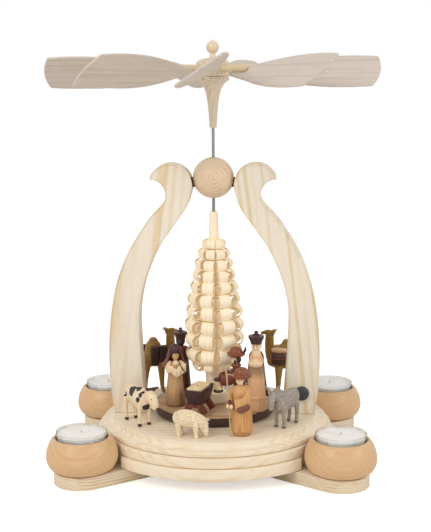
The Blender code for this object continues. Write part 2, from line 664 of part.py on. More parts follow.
def arch_outline():
    """The right arch's outline in X and Z from its foot: an S-shaped board with a scrolled head."""
    outer = [(x * ARCH_REACH, z * ARCH_HEIGHT) for x, z in OUTER_EDGE_SHARES]
    inner = [(x * ARCH_REACH, z * ARCH_HEIGHT) for x, z in INNER_EDGE_SHARES]
    head = Vector((HEAD_OUT, ARCH_HEIGHT - HEAD_RADIUS))
    notch = head + Vector((NOTCH_OUT, -NOTCH_DOWN))
    tip = notch + Vector((0, NOTCH_RADIUS)) - head
    tip_angle = math.degrees(math.atan2(tip.y, tip.x))
    scroll = arc(notch, NOTCH_RADIUS, SCROLL_NOTCH_END, 90, SCROLL_NOTCH_STEPS)
    crown = arc(head, HEAD_RADIUS, tip_angle, HEAD_END_BEARING, HEAD_STEPS)
    up = smooth_edge(outer + scroll[:1], EDGE_STEPS)
    down = smooth_edge(crown[-1:] + inner, EDGE_STEPS)
    return up[:-1] + scroll + crown[1:-1] + down


def arches():
    """Two mirrored arches, each pinned to the ball by a dark dowel, and the button on the right one."""
    stand = spin_about("X", 90)
    reach = math.sqrt(BALL_RADIUS ** 2 - DOWEL_DROP ** 2)
    start = reach - DOWEL_IN_BALL
    end = reach + ARCH_BALL_GAP + DOWEL_IN_ARCH
    height = BALL_HEIGHT - DOWEL_DROP
    holes = []
    for name, side in (("right", 1), ("left", -1)):
        outline = [(x * side, z) for x, z in arch_outline()]
        place = (0, ARCH_THICKNESS / 2, ARCH_FOOT)
        arch = piece(f"arch_{name}", plate(outline, ARCH_THICKNESS), "ash", place, stand)
        lie = spin_about("Y", 90 * side)
        dowel = cylinder(DOWEL_RADIUS, start, end, DOWEL_SIDES)
        piece(f"arch_dowel_{name}", dowel, "walnut", (0, 0, height), lie)
        hole = cylinder(DOWEL_RADIUS + SEAT_GAP, start - SEAT_GAP, end + SEAT_GAP, DOWEL_SIDES)
        holes.append(piece(f"dowel_hole_{name}", hole, "walnut", (0, 0, height), lie))
        combine(arch, "DIFFERENCE", holes[-1])
    bore = BUSH_RADIUS + SEAT_GAP
    lowest = math.degrees(math.asin(math.sqrt(BALL_RADIUS ** 2 - bore ** 2) / BALL_RADIUS))
    ball = turned(arc((0, 0), BALL_RADIUS, -lowest, lowest, BALL_STEPS), BALL_SIDES, closed=True)[0]
    combine(piece("bearing_ball", ball, "beech", (0, 0, BALL_HEIGHT)), "DIFFERENCE", *holes)
    half = BUSH_LENGTH / 2
    bush = bored([(BUSH_RADIUS, -half), (BUSH_RADIUS, half)], SHAFT_BORE)
    piece("ball_bush", turned(bush, BUSH_SIDES, closed=True)[0], "brass", (0, 0, BALL_HEIGHT))
    rim = BUTTON_HEIGHT * BUTTON_RIM_SHARE
    rise = BUTTON_HEIGHT - rim
    dome = [(0, 0), (BUTTON_RADIUS, 0), (BUTTON_RADIUS, rim)]
    for step in (1, 2):
        angle = math.radians(30 * step)
        dome.append((BUTTON_RADIUS * math.cos(angle), rim + rise * math.sin(angle)))
    dome.append((0, BUTTON_HEIGHT))
    place = (BUTTON_OUT, -ARCH_THICKNESS / 2 - SEAT_GAP, STAGE_TOP + BUTTON_UP)
    piece("seal_button", turned(dome, BUTTON_SIDES)[0], "button_grey", place, stand)


# Rotor


def turntable(rotor):
    """A dark turned disc with an undercut edge and a light inlay let in flush with its rim."""
    seat = TURNTABLE_RADIUS - TURNTABLE_RIM
    floor = TURNTABLE_THICKNESS - INLAY_THICKNESS - SEAT_GAP
    profile = [
        (0, 0), (TURNTABLE_RADIUS - TURNTABLE_UNDERCUT, 0), (TURNTABLE_RADIUS, TURNTABLE_THICKNESS),
        (seat, TURNTABLE_THICKNESS), (seat, floor), (0, floor),
    ]
    disc = turned(profile, TURNTABLE_SIDES)[0]
    disc = piece("turntable_disc", disc, "walnut", (0, 0, TURNTABLE_BOTTOM), parent=rotor)
    inlay = cylinder(seat - SEAT_GAP, 0, INLAY_THICKNESS, TURNTABLE_SIDES)
    place = (0, 0, TURNTABLE_TOP - INLAY_THICKNESS)
    inlay = piece("turntable_inlay", inlay, "pear", place, parent=rotor)
    for target, height in ((disc, floor), (inlay, INLAY_THICKNESS)):
        drilled(target, SHAFT_BORE, -OVERRUN, height + OVERRUN, SHAFT_SIDES)


def shaft(rotor):
    """The steel shaft from its point in the cup up into the hub's funnel."""
    point = STAGE_TOP - THRUST_HOLLOW_DEPTH + SEAT_GAP * 2
    end = FUNNEL_TOP - FUNNEL_BORE_LEFT - SEAT_GAP
    rod = [(0, point), (SHAFT_RADIUS, point + SHAFT_POINT), (SHAFT_RADIUS, end), (0, end)]
    piece("shaft", turned(rod, SHAFT_SIDES)[0], "steel", parent=rotor)


def tree_rows():
    """Each row's height above the tree's foot, its spacing and its reach from the axis.

    Every row is a little closer to the next than the one below it, but the lowest is a short one.
    """
    rows = []
    low = TREE_FOOT_HEIGHT
    count = len(ROW_RADIUS_SHARES)
    for row, share in enumerate(ROW_RADIUS_SHARES):
        spacing = ROW_SPACING_LOW + (ROW_SPACING_HIGH - ROW_SPACING_LOW) * row / (count - 1)
        if row == 0:
            spacing *= FOOT_ROW_SHARE
        rows.append((low, spacing, TREE_RADIUS * share))
        low += spacing
    return rows


def shaved_tree(rotor):
    """A shaved tree, carved whole: an eight-sided core with a curled shaving on each flat in each row.

    The core's side has a thin band at the foot of each row. Every face of such a band is drawn out
    into a shaving, as wide as the flat at its root and wider farther out, and thin throughout.
    """
    rows = tree_rows()
    top = rows[-1][0] + rows[-1][1]
    taper = (TREE_CORE_RADIUS - TREE_FOOT_RADIUS) / (top - rows[0][0])
    side = [(TREE_FOOT_RADIUS, 0)]
    for low, spacing, _ in rows:
        root = low + spacing * SHAVING_ROOT_SHARE
        for level in (root, root + SHAVING_ROOT_THICKNESS):
            side.append((TREE_FOOT_RADIUS + taper * (level - rows[0][0]), level))
    height = top + TREE_TIP_LENGTH
    side += [(TREE_CORE_RADIUS, top), (TREE_TIP_RADIUS, height - TREE_TIP_ROUND)]
    side.append((TREE_TIP_RADIUS * TREE_CHAMFER_SHARE, height))
    bm, bands = turned(bored(side, SHAFT_BORE), TREE_COLUMNS, closed=True)
    widening = 2 * math.tan(math.pi / TREE_COLUMNS) * SHAVING_SECTOR_SHARE
    for row, (low, spacing, reach) in enumerate(rows):
        path = shaving_path(low, spacing, reach)
        for column, face in enumerate(bands[2 + 2 * row]):
            out = polar(1, 360 * (column + 0.5) / TREE_COLUMNS)
            across = Vector((-out.y, out.x, 0))
            for distance, level, slope in path:
                half = min(spacing * SHAVING_WIDTH_SHARE, distance * widening) / 2
                middle = out * distance + Vector((0, 0, level))
                up = (Vector((0, 0, math.cos(slope))) - out * math.sin(slope)) * SHAVING_THICKNESS / 2
                corners = [middle + across * half * side + up * lift for side, lift in SHAVING_CORNERS]
                face = grown(bm, face, corners)
    place = (0, 0, SOCKET_TOP + SEAT_GAP)
    piece("shaved_tree", bm, "linden", place, spin_about("Z", TREE_TURN), rotor)


def shaving_path(low, spacing, reach):
    """One shaving from the side: distances from the axis, heights and slopes along its curl.

    It leaves the core upward and outward, then curls over and tightens as it turns. The curl's
    outer side touches the row's reach, and its underside clears the start of the row.
    """
    curl = spacing * CURL_DIAMETER_SHARE / 2
    slope = math.radians(CURL_START_ANGLE)
    distance = reach - curl * (1 + math.sin(slope))
    level = low + spacing * CURL_MARGIN_SHARE + curl * (1 + math.cos(slope))
    path = [(distance, level, slope)]
    turn = math.radians(CURL_TURN) / CURL_STEPS
    for step in range(CURL_STEPS):
        chord = 2 * curl * (1 - CURL_TIGHTEN_SHARE * step / CURL_STEPS) * math.sin(turn / 2)
        distance += chord * math.cos(slope - turn / 2)
        level += chord * math.sin(slope - turn / 2)
        slope -= turn
        path.append((distance, level, slope))
    return path


def hub(rotor):
    """The turned funnel, the head that holds the blades, and the finial on top."""
    disc_low = FUNNEL_LENGTH - FUNNEL_DISC_THICKNESS
    flare = []
    for out, up in FUNNEL_SHARES:
        radius = FUNNEL_FOOT_RADIUS + (FUNNEL_DISC_RADIUS - FUNNEL_FOOT_RADIUS) * out
        flare.append((radius, disc_low * up))
    groove = FUNNEL_DISC_RADIUS - FUNNEL_GROOVE
    third = FUNNEL_DISC_THICKNESS / 3
    roof = FUNNEL_LENGTH - FUNNEL_BORE_LEFT
    spigot = FUNNEL_LENGTH + FUNNEL_SPIGOT_HEIGHT
    funnel = [(0, roof), (SHAFT_BORE, roof), (SHAFT_BORE, 0)] + flare + [
        (FUNNEL_DISC_RADIUS, disc_low), (FUNNEL_DISC_RADIUS, disc_low + third),
        (groove, disc_low + third * 1.5), (FUNNEL_DISC_RADIUS, disc_low + third * 2),
        (FUNNEL_DISC_RADIUS, FUNNEL_LENGTH), (FUNNEL_SPIGOT_RADIUS, FUNNEL_LENGTH),
        (FUNNEL_SPIGOT_RADIUS, spigot), (0, spigot),
    ]
    piece("hub_funnel", turned(funnel, FUNNEL_SIDES)[0], "maple", (0, 0, FUNNEL_FOOT), parent=rotor)
    outside = [(HEAD_TURNED_RADIUS * out, HEAD_TURNED_HEIGHT * up) for out, up in HEAD_TURNED_SHARES]
    head = [(0, 0)] + outside + [(0, HEAD_TURNED_HEIGHT)]
    turn = spin_about("Z", BLADE_FIRST_BEARING + 180 / HEAD_TURNED_SIDES)
    place = (0, 0, HUB_HEAD_BOTTOM)
    head = piece("hub_head", turned(head, HEAD_TURNED_SIDES)[0], "maple", place, turn, rotor)
    depth = FUNNEL_SPIGOT_HEIGHT + SEAT_GAP
    drilled(head, FUNNEL_SPIGOT_RADIUS + SEAT_GAP, -OVERRUN, depth, FUNNEL_SIDES)
    depth = HEAD_TURNED_HEIGHT - FINIAL_TENON_LENGTH - SEAT_GAP
    drilled(head, FINIAL_TENON_RADIUS + SEAT_GAP, depth, HEAD_TURNED_HEIGHT + OVERRUN, FINIAL_SIDES)
    hollow = HEAD_TURNED_RADIUS - TENON_LENGTH - SEAT_GAP
    for index, bearing in enumerate(blade_bearings()):
        drill = cylinder(TENON_RADIUS + TENON_FIT, hollow, HEAD_TURNED_RADIUS + OVERRUN, STEM_SIDES)
        aim = spin_about("Z", bearing) @ spin_about("Y", 90)
        place = (0, 0, STEM_HEIGHT)
        combine(head, "DIFFERENCE", piece(f"stem_hole_{index + 1}", drill, "maple", place, aim, rotor))
    finial(rotor)


def finial(rotor):
    """A turned ball with a pointed tip on a thin neck."""
    middle = FINIAL_HEIGHT * FINIAL_BALL_SHARE
    neck = FINIAL_RADIUS * FINIAL_NECK_SHARE
    bottom = math.degrees(math.acos(FINIAL_NECK_SHARE))
    ball = arc((0, middle), FINIAL_RADIUS, -bottom, 70, 8)
    profile = [(0, -FINIAL_TENON_LENGTH), (FINIAL_TENON_RADIUS, -FINIAL_TENON_LENGTH)]
    profile += [(FINIAL_TENON_RADIUS, SEAT_GAP), (neck, SEAT_GAP)] + ball + [(0, FINIAL_HEIGHT)]
    piece("finial", turned(profile, FINIAL_SIDES)[0], "beech", (0, 0, HUB_HEAD_TOP), parent=rotor)


def blade_bearings():
    return [BLADE_FIRST_BEARING + 360 * index / BLADE_COUNT for index in range(BLADE_COUNT)]


def blades(rotor):
    """Nine lancet boards, each lapped under a round stem whose tenon turns in the hub's head.

    A blade's origin lies on its stem's axis at the hub; +X runs outward and the pitch turns it
    about +X. The half chord swells as a part of a sine from the root, and an arc cuts the tip.
    """
    outline = []
    for step in range(BLADE_EDGE_STEPS + 1):
        share = step / BLADE_EDGE_STEPS
        out = BLADE_ROOT + (BLADE_CORNER - BLADE_ROOT) * share
        swell = math.sin(math.pi * BLADE_SWEEP_SHARE * share) * BLADE_SWELL_SHARE
        outline.append((out, -BLADE_HALF_CHORD * swell))
    tip = []
    for step in range(1, BLADE_TIP_STEPS):
        across = 2 * step / BLADE_TIP_STEPS - 1
        bulge = (BLADE_TIP - BLADE_CORNER) * (1 - across ** 2)
        tip.append((BLADE_CORNER + bulge, -outline[-1][1] * across))
    outline += tip + [(out, -across) for out, across in outline[:0:-1]]
    shoulder = HEAD_TURNED_RADIUS + STEM_HUB_GAP
    inner = HEAD_TURNED_RADIUS - TENON_LENGTH
    stem_profile = [
        (0, inner), (TENON_RADIUS, inner), (TENON_RADIUS, shoulder), (STEM_RADIUS, shoulder),
        (STEM_RADIUS, STEM_END - STEM_ROUND), (STEM_RADIUS - STEM_ROUND, STEM_END), (0, STEM_END),
    ]
    for index, bearing in enumerate(blade_bearings()):
        aim = spin_about("Z", bearing) @ spin_about("X", BLADE_PITCH)
        place = (0, 0, STEM_HEIGHT)
        stem = turned(stem_profile, STEM_SIDES)[0]
        bmesh.ops.transform(stem, matrix=spin_about("Y", 90), verts=stem.verts)
        board = plate(outline, BLADE_THICKNESS)
        drop = -BLADE_UNDER_STEM - BLADE_THICKNESS / 2
        bmesh.ops.translate(board, vec=(0, 0, drop), verts=board.verts)
        blade = piece(f"blade_{index + 1}", board, "maple", place, aim, rotor)
        combine(blade, "UNION", piece(f"blade_stem_{index + 1}", stem, "maple", place, aim, rotor))


# Figures


def fused(body, tables, sides, size, mirrored=False):
    """Fuse limbs, given as tables of shares of the figure's size, to the figure's body."""
    surface = body.active_material.name
    for table in tables:
        for side in (1, -1) if mirrored else (1,):
            stations = [(x * size, y * size * side, z * size, a * size, b * size) for x, y, z, a, b in table]
            part = piece(f"{body.name}_limb", limb(stations, sides), surface)
            part.parent = body
            combine(body, "UNION", part)
    return body


def animal(name, surface, shares, size, place, heading):
    """A carved animal facing +X: a body with its neck and head, ears or horns, and four legs."""
    stations = [tuple(value * size for value in station) for station in shares["body"]]
    body = piece(name, limb(stations, LIMB_SIDES), surface, place, spin_about("Z", heading))
    front, rear, across, top, thick = shares["legs"]
    legs = [((out, across, top, thick, thick), (out, across, 0, thick, thick)) for out in (front, rear)]
    fused(body, shares["necks"], NECK_SIDES, size)
    fused(body, [shares["ears"]], LEG_SIDES, size, mirrored=True)
    return fused(body, legs, LEG_SIDES, size, mirrored=True)


def stage_animals():
    """The animals that stand still on the stage round the turntable, the camels with their loads."""
    ground = STAGE_TOP + SEAT_GAP
    for name, surface, shares, size, distance, bearing, heading in (
        ("cow", "cow_white", COW_SHARES, COW_HEIGHT, COW_CIRCLE_RADIUS, -150.1, -54.4),
        ("sheep", "linden", SHEEP_SHARES, SHEEP_HEIGHT, SHEEP_CIRCLE_RADIUS, -101.7, -15.0),
        ("donkey", "donkey_grey", DONKEY_SHARES, DONKEY_HEIGHT, DONKEY_CIRCLE_RADIUS, -33.0, -124.3),
        ("camel_left", "camel_brown", CAMEL_SHARES, CAMEL_HEIGHT, CAMEL_CIRCLE_RADIUS, 136.5, 12.0),
        ("camel_right", "camel_brown", CAMEL_SHARES, CAMEL_HEIGHT, CAMEL_CIRCLE_RADIUS, 38.5, 171.0),
    ):
        body = animal(name, surface, shares, size, polar(distance, bearing, ground), heading)
        if shares is CAMEL_SHARES:
            load_size = [value * size for value in CAMEL_LOAD_SHARES["size"]]
            place = [value * size for value in CAMEL_LOAD_SHARES["place"]]
            load = piece(f"{name}_load", box(load_size, place), "walnut")
            load.parent = body
            combine(body, "UNION", load)


def person(name, surface, robe, head, shares, size, place, heading, parent=None):
    """A turned figure, robe and head in one piece, with its sleeves and what it holds fused on."""
    profile = [(0, 0)] + [(radius * size, up * size) for radius, up in robe + head] + [(0, size)]
    body = turned(profile, FIGURE_SIDES)[0]
    body = piece(name, body, surface, place, spin_about("Z", heading), parent)
    ahead, across, up = shares["hands"]
    thick, wrist = SLEEVE_SHARES["half_width"], SLEEVE_SHARES["wrist"]
    elbow_up = up / 2 + SLEEVE_SHARES["elbow"]
    sleeve = (
        (0, SPREAD_SHARES["shoulder"], SLEEVE_SHARES["shoulder"], thick, thick),
        (ahead * SLEEVE_SHARES["bend"], SPREAD_SHARES["elbow"], elbow_up, thick, thick),
        (ahead, across, up, wrist, wrist),
    )
    fused(body, [sleeve], ARM_SIDES, size, mirrored=True)
    if "held" in shares:
        fused(body, [shares["held"]], shares["held_sides"], size)
    return body


def people(rotor):
    """The figures that ride on the turntable, and the shepherd on the stage with his staff."""
    deck = TURNTABLE_TOP + SEAT_GAP
    ground = STAGE_TOP + SEAT_GAP
    person(
        "woman", "pear", ROBE_SHARES, HAIR_SHARES, WOMAN_SHARES, WOMAN_HEIGHT,
        polar(WOMAN_CIRCLE_RADIUS, -158.7, deck), -75.0, rotor,
    )
    person(
        "left_king", "robe_brown", KING_ROBE_SHARES, CROWN_SHARES, LEFT_KING_SHARES, LEFT_KING_HEIGHT,
        polar(LEFT_KING_CIRCLE_RADIUS, 152.7, deck), -95.0, rotor,
    )
    person(
        "right_king", "robe_peach", KING_ROBE_SHARES, CROWN_SHARES, RIGHT_KING_SHARES, RIGHT_KING_HEIGHT,
        polar(RIGHT_KING_CIRCLE_RADIUS, -36.4, deck), -97.0, rotor,
    )
    person(
        "gift_bearer", "robe_brown", SLIM_ROBE_SHARES, HAT_SHARES, BEARER_SHARES, BEARER_HEIGHT,
        polar(BEARER_CIRCLE_RADIUS, -47.2, deck), 192.0, rotor,
    )
    person(
        "shepherd", "robe_ochre", ROBE_SHARES, HAT_SHARES, SHEPHERD_SHARES, SHEPHERD_HEIGHT,
        polar(SHEPHERD_CIRCLE_RADIUS, -69.3, ground), -128.0,
    )
    staff = cylinder(STAFF_RADIUS, 0, STAFF_HEIGHT, STAFF_SIDES)
    place = polar(STAFF_CIRCLE_RADIUS, -77.5, ground)
    piece("shepherd_staff", staff, "walnut", place, spin_about("Y", -3.5))


def crib(rotor):
    """A flared trough on two pairs of splayed legs, with the child on its bed in it."""
    turn = spin_about("Z", CRIB_HEADING)
    place = polar(CRIB_CIRCLE_RADIUS, CRIB_BEARING, TURNTABLE_TOP + SEAT_GAP)
    low = CRIB_HEIGHT - CRIB_DEPTH
    top = [(x * CRIB_LENGTH / 2, y * CRIB_WIDTH / 2) for x, y in ((-1, -1), (1, -1), (1, 1), (-1, 1))]
    body = piece("crib", flared_box(top, CRIB_FLARE_SHARE, low, CRIB_HEIGHT), "walnut", place, turn, rotor)
    inside = inset(top, CRIB_WALL)
    hollow = flared_box(inside, CRIB_FLARE_SHARE, low + CRIB_WALL, CRIB_HEIGHT + OVERRUN)
    combine(body, "DIFFERENCE", piece("crib_hollow", hollow, "walnut", place, turn, rotor))
    foot = CRIB_WIDTH * CRIB_FOOT_SHARE
    splay = math.atan2(foot * (1 - CRIB_LEG_TOP_SHARE), low)
    lift = CRIB_LEG_HALF_WIDTH * math.cos(math.pi / LEG_SIDES) * math.sin(splay)
    thick = (CRIB_LEG_HALF_WIDTH, CRIB_LEG_HALF_THICKNESS)
    for end in (-1, 1):
        out = end * CRIB_LENGTH * CRIB_LEG_PLACE_SHARE
        for side in (-1, 1):
            stations = (
                (out, side * foot * CRIB_LEG_TOP_SHARE, low + CRIB_WALL / 2, *thick),
                (out, side * foot, lift, *thick),
            )
            leg = piece("crib_leg", limb(stations, LEG_SIDES), "walnut", place, turn, rotor)
            combine(body, "UNION", leg)
    bed = CRIB_HEIGHT - CRIB_DEPTH * CHILD_DEPTH_SHARE
    child = flared_box(inset(inside, SEAT_GAP), CHILD_TAPER_SHARE, bed, CRIB_HEIGHT + CRIB_WALL)
    piece("crib_child", child, "hay", place, turn, rotor)


def inset(outline, distance):
    """A rectangle about the origin drawn in by a distance on every side."""
    return [(x - math.copysign(distance, x), y - math.copysign(distance, y)) for x, y in outline]


def flared_box(top, share, low, high):
    """A four-sided solid from a smaller bottom, a share of the top outline, to that outline."""
    bm = bmesh.new()
    lower = [bm.verts.new((x * share, y * share, low)) for x, y in top]
    upper = [bm.verts.new((x, y, high)) for x, y in top]
    bm.faces.new(lower)
    bm.faces.new(upper)
    for side in range(4):
        after = (side + 1) % 4
        bm.faces.new((lower[side], lower[after], upper[after], upper[side]))
    return bm


def rotor_pieces():
    """Everything that turns with the shaft, parented to an empty on the shaft's axis."""
    rotor = axis_empty("rotor_axis", (0, 0, 0))
    shaft(rotor)
    turntable(rotor)
    socket = bored([
        (SOCKET_RADIUS, 0), (SOCKET_RADIUS, SOCKET_HEIGHT * SOCKET_TOP_SHARE),
        (SOCKET_RADIUS * SOCKET_TOP_SHARE, SOCKET_HEIGHT),
    ], SHAFT_BORE)
    place = (0, 0, TURNTABLE_TOP + SEAT_GAP)
    piece("tree_socket", turned(socket, SOCKET_SIDES, closed=True)[0], "linden", place, parent=rotor)
    shaved_tree(rotor)
    hub(rotor)
    blades(rotor)
    people(rotor)
    crib(rotor)


clear_scene()
foot_boards()
base()
candle_bowls()
arches()
rotor_pieces()
stage_animals()
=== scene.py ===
"""Dressed scene of a tabletop candle carousel of natural wood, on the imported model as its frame.

The sections follow the object as it is put together: foot boards, stepped base, bowls with their
tealights, arches and ball, then the rotor with its turntable, shaved tree, impeller and figures,
and last the animals on the stage. Lengths are in metres and angles in degrees. Bearings are
counted from +X toward +Y.
"""
import math

import bmesh
import bpy
import numpy as np
from mathutils import Matrix, Vector


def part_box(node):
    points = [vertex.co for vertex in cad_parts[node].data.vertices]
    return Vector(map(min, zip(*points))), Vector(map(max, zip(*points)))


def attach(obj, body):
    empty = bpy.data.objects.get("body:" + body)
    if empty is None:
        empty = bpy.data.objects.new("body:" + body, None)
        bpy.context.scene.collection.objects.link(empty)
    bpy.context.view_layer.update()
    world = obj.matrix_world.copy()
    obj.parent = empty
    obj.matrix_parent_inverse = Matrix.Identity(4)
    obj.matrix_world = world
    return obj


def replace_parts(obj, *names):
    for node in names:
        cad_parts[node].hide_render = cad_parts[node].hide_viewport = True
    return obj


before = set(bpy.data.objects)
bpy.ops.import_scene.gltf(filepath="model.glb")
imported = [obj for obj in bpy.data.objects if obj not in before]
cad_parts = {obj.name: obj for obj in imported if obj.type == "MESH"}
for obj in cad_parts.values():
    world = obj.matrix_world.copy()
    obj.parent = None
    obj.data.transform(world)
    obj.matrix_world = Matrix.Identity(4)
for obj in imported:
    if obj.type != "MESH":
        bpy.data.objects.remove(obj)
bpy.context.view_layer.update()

# Camera. It stands a little right of the middle, level with the ball, and looks slightly down.
# Its place and lens are worked out from the picture's upright lines and the discs' ellipses.
CAMERA_PLACE = (0.0421, -0.8830, 0.3106)
CAMERA_TURN = 2.648
CAMERA_DOWN = 9.505
CAMERA_ROLL = -0.355
CAMERA_LENS = 71.99

camera = bpy.data.objects.new("camera", bpy.data.cameras.new("camera"))
camera.data.sensor_fit = "VERTICAL"
camera.data.sensor_height = 36
camera.data.lens = CAMERA_LENS
camera.data.clip_start = 0.01
camera.matrix_world = (
    Matrix.Translation(CAMERA_PLACE)
    @ Matrix.Rotation(math.radians(CAMERA_TURN), 4, "Z")
    @ Matrix.Rotation(math.radians(90 - CAMERA_DOWN), 4, "X")
    @ Matrix.Rotation(math.radians(CAMERA_ROLL), 4, "Z")
)
bpy.context.scene.collection.objects.link(camera)
bpy.context.scene.camera = camera
bpy.context.scene.view_settings.view_transform = "Standard"


# Studio. A white paper floor, two large soft lamps and pale light from all round. What the camera,
# clear plastic and steel see of the surroundings is plain white paper.


def linear(colour):
    """The linear red, green, blue and alpha of an sRGB hex colour."""
    shares = np.array([int(colour[at:at + 2], 16) for at in (1, 3, 5)]) / 255
    values = np.where(shares <= 0.04045, shares / 12.92, ((shares + 0.055) / 1.055) ** 2.4)
    return (*values.tolist(), 1.0)


def add(tree, kind, settings=None, links=None):
    """Add a node of a kind, set its options and plain inputs, and join inputs to (node, output).

    Under "stops", a ramp takes its (position, colour) pairs.
    """
    made = tree.nodes.new("ShaderNode" + kind)
    for key, value in (settings or {}).items():
        if key == "stops":
            ramp = made.color_ramp.elements
            for _ in range(len(value) - 2):
                ramp.new(0.5)
            for stop, (position, colour) in zip(ramp, value):
                stop.position = position
                stop.color = colour
        elif isinstance(key, int) or key in made.inputs:
            made.inputs[key].default_value = value
        else:
            setattr(made, key, value)
    for key, (source, output) in (links or {}).items():
        tree.links.new(source.outputs[output], made.inputs[key])
    return made


def blank(owner):
    """The owner's node tree, emptied."""
    owner.use_nodes = True
    owner.node_tree.nodes.clear()
    return owner.node_tree


WORLD_LIGHT = 0.62
world = bpy.data.worlds.new("white room")
bpy.context.scene.world = world
tree = blank(world)
ray = add(tree, "LightPath")
seen = add(tree, "Math", {"operation": "ADD"}, {0: (ray, "Is Camera Ray"), 1: (ray, "Is Glossy Ray")})
seen = add(tree, "Math", {"operation": "ADD", "use_clamp": True}, {
    0: (seen, "Value"), 1: (ray, "Is Transmission Ray"),
})
light = add(tree, "Background", {"Color": linear("#fffdfa"), "Strength": WORLD_LIGHT})
paper = add(tree, "Background", {"Color": (1, 1, 1, 1), "Strength": 1.0})
shown = add(
    tree, "MixShader", links={0: (seen, "Value"), 1: (light, "Background"), 2: (paper, "Background")},
)
add(tree, "OutputWorld", links={"Surface": (shown, "Shader")})

for name, place, aim, size, power, colour in (
    ("key lamp", (-0.85, -1.05, 1.15), (0, 0, 0.14), 0.9, 9.0, "#fff8ee"),
    ("side lamp", (1.05, -0.55, 0.75), (0, 0, 0.14), 0.7, 3.7, "#fffaf4"),
):
    lamp = bpy.data.objects.new(name, bpy.data.lights.new(name, "AREA"))
    lamp.data.shape = "DISK"
    lamp.data.size = size
    lamp.data.energy = power
    lamp.data.color = linear(colour)[:3]
    lamp.location = place
    lamp.rotation_euler = (Vector(aim) - Vector(place)).to_track_quat("-Z", "Y").to_euler()
    bpy.context.scene.collection.objects.link(lamp)

FLOOR_HALF = 6.0
mesh = bpy.data.meshes.new("paper_floor")
corners = [(x * FLOOR_HALF, y * FLOOR_HALF, 0) for x, y in ((-1, -1), (1, -1), (1, 1), (-1, 1))]
mesh.from_pydata(corners, [], [(0, 1, 2, 3)])
floor = bpy.data.objects.new("paper_floor", mesh)
bpy.context.scene.collection.objects.link(floor)
# White backing paper, matt: the camera sees it lifted to plain white, with the object's shadow on it.
PAPER_LIFT = 0.50
backing = bpy.data.materials.new("matt backing paper")
tree = blank(backing)
matt = add(tree, "BsdfDiffuse", {"Color": linear("#f6f4f1")})
ray = add(tree, "LightPath")
part = add(tree, "Math", {"operation": "MULTIPLY", 1: PAPER_LIFT}, {0: (ray, "Is Camera Ray")})
lift = add(tree, "Emission", {"Color": (1, 1, 1, 1)}, {"Strength": (part, "Value")})
shown = add(tree, "AddShader", links={0: (matt, "BSDF"), 1: (lift, "Emission")})
add(tree, "OutputMaterial", links={"Surface": (shown, "Shader")})
mesh.materials.append(backing)


# Foot boards. Two sawn ash boards with round ends, crossed and halved into each other, which carry
# the base and the four bowls. Straight grain runs along each board; its edges are lightly eased.
BOARD_WIDTH = 0.0458
BOARD_BEARING = 36.0
BOARD_EASE = 0.0006
BOWL_DISTANCE = 0.1272
LAP_CUTTER_LENGTH = 0.12
POINTS_ROUND_END = 33


def surface(name, *grids, place=Matrix(), grain=(0, 1, 2), pith=(0, 0, 0), coiled=None):
    """A piece made of grids of points, each of shape (rows, columns, 3), faced outward.

    Every four neighbours of a grid are a face, and edges that meet are welded. The points are
    given in the piece's own frame and set down by the place. The attribute "timber" keeps where
    each point lay in the wood: along the grain, across it and deep, in metres from the pith.
    Bent wood gives its own grids of that in coiled.
    """
    points, faces, wood, start = [], [], [], 0
    for grid, lay in zip(grids, coiled or grids):
        rows, columns = grid.shape[:2]
        at = start + np.arange(rows * columns).reshape(rows, columns)
        corners = (at[:-1, :-1], at[:-1, 1:], at[1:, 1:], at[1:, :-1])
        faces.append(np.stack(corners, axis=-1).reshape(-1, 4))
        points.append(grid.reshape(-1, 3))
        wood.append(lay.reshape(-1, 3)[:, list(grain)] - pith)
        start += rows * columns
    mesh = bpy.data.meshes.new(name)
    points = np.concatenate(points)
    turn = np.array(place)
    mesh.from_pydata((points @ turn[:3, :3].T + turn[:3, 3]).tolist(), [], np.concatenate(faces).tolist())
    timber = mesh.attributes.new("timber", "FLOAT_VECTOR", "POINT")
    timber.data.foreach_set("vector", np.concatenate(wood).astype(np.float32).ravel())
    bm = bmesh.new()
    bm.from_mesh(mesh)
    bmesh.ops.remove_doubles(bm, verts=bm.verts, dist=2e-6)
    bmesh.ops.dissolve_degenerate(bm, dist=1e-6, edges=bm.edges)
    bmesh.ops.recalc_face_normals(bm, faces=bm.faces)
    bm.to_mesh(mesh)
    bm.free()
    mesh.shade_smooth()
    mesh.set_sharp_from_angle(angle=math.radians(38))
    piece = bpy.data.objects.new(name, mesh)
    bpy.context.scene.collection.objects.link(piece)
    return piece


def eased(corners, ease, steps=3):
    """A line of points with its inner corners rounded: near each, it follows a parabola that starts
    an ease before the corner and ends an ease after it, or at less than half a side."""
    corners = np.asarray(corners, float)
    before, at, after = corners[:-2], corners[1:-1], corners[2:]
    back = np.linalg.norm(before - at, axis=1)[:, None]
    ahead = np.linalg.norm(after - at, axis=1)[:, None]
    start = at + (before - at) * np.minimum(ease / back, 0.46)
    end = at + (after - at) * np.minimum(ease / ahead, 0.46)
    t = np.linspace(0, 1, steps + 1)[:, None, None]
    bend = (1 - t) ** 2 * start + 2 * t * (1 - t) * at + t ** 2 * end
    return np.vstack([corners[:1], bend.transpose(1, 0, 2).reshape(-1, corners.shape[1]), corners[-1:]])


def slab(middles, bearings, radii, edge):
    """A flat piece: its edge's (offset, height) profile is carried round a rim, whose points lie at
    bearings (in radians) and radii from their middles. Where an offset eats up the radius, the face
    ends there.
    """
    reach = np.maximum(np.asarray(radii) + edge[:, :1], 0)
    x = middles[:, 0] + reach * np.cos(bearings)
    y = middles[:, 1] + reach * np.sin(bearings)
    return np.stack([x, y, np.broadcast_to(edge[:, 1:], x.shape)], axis=-1)


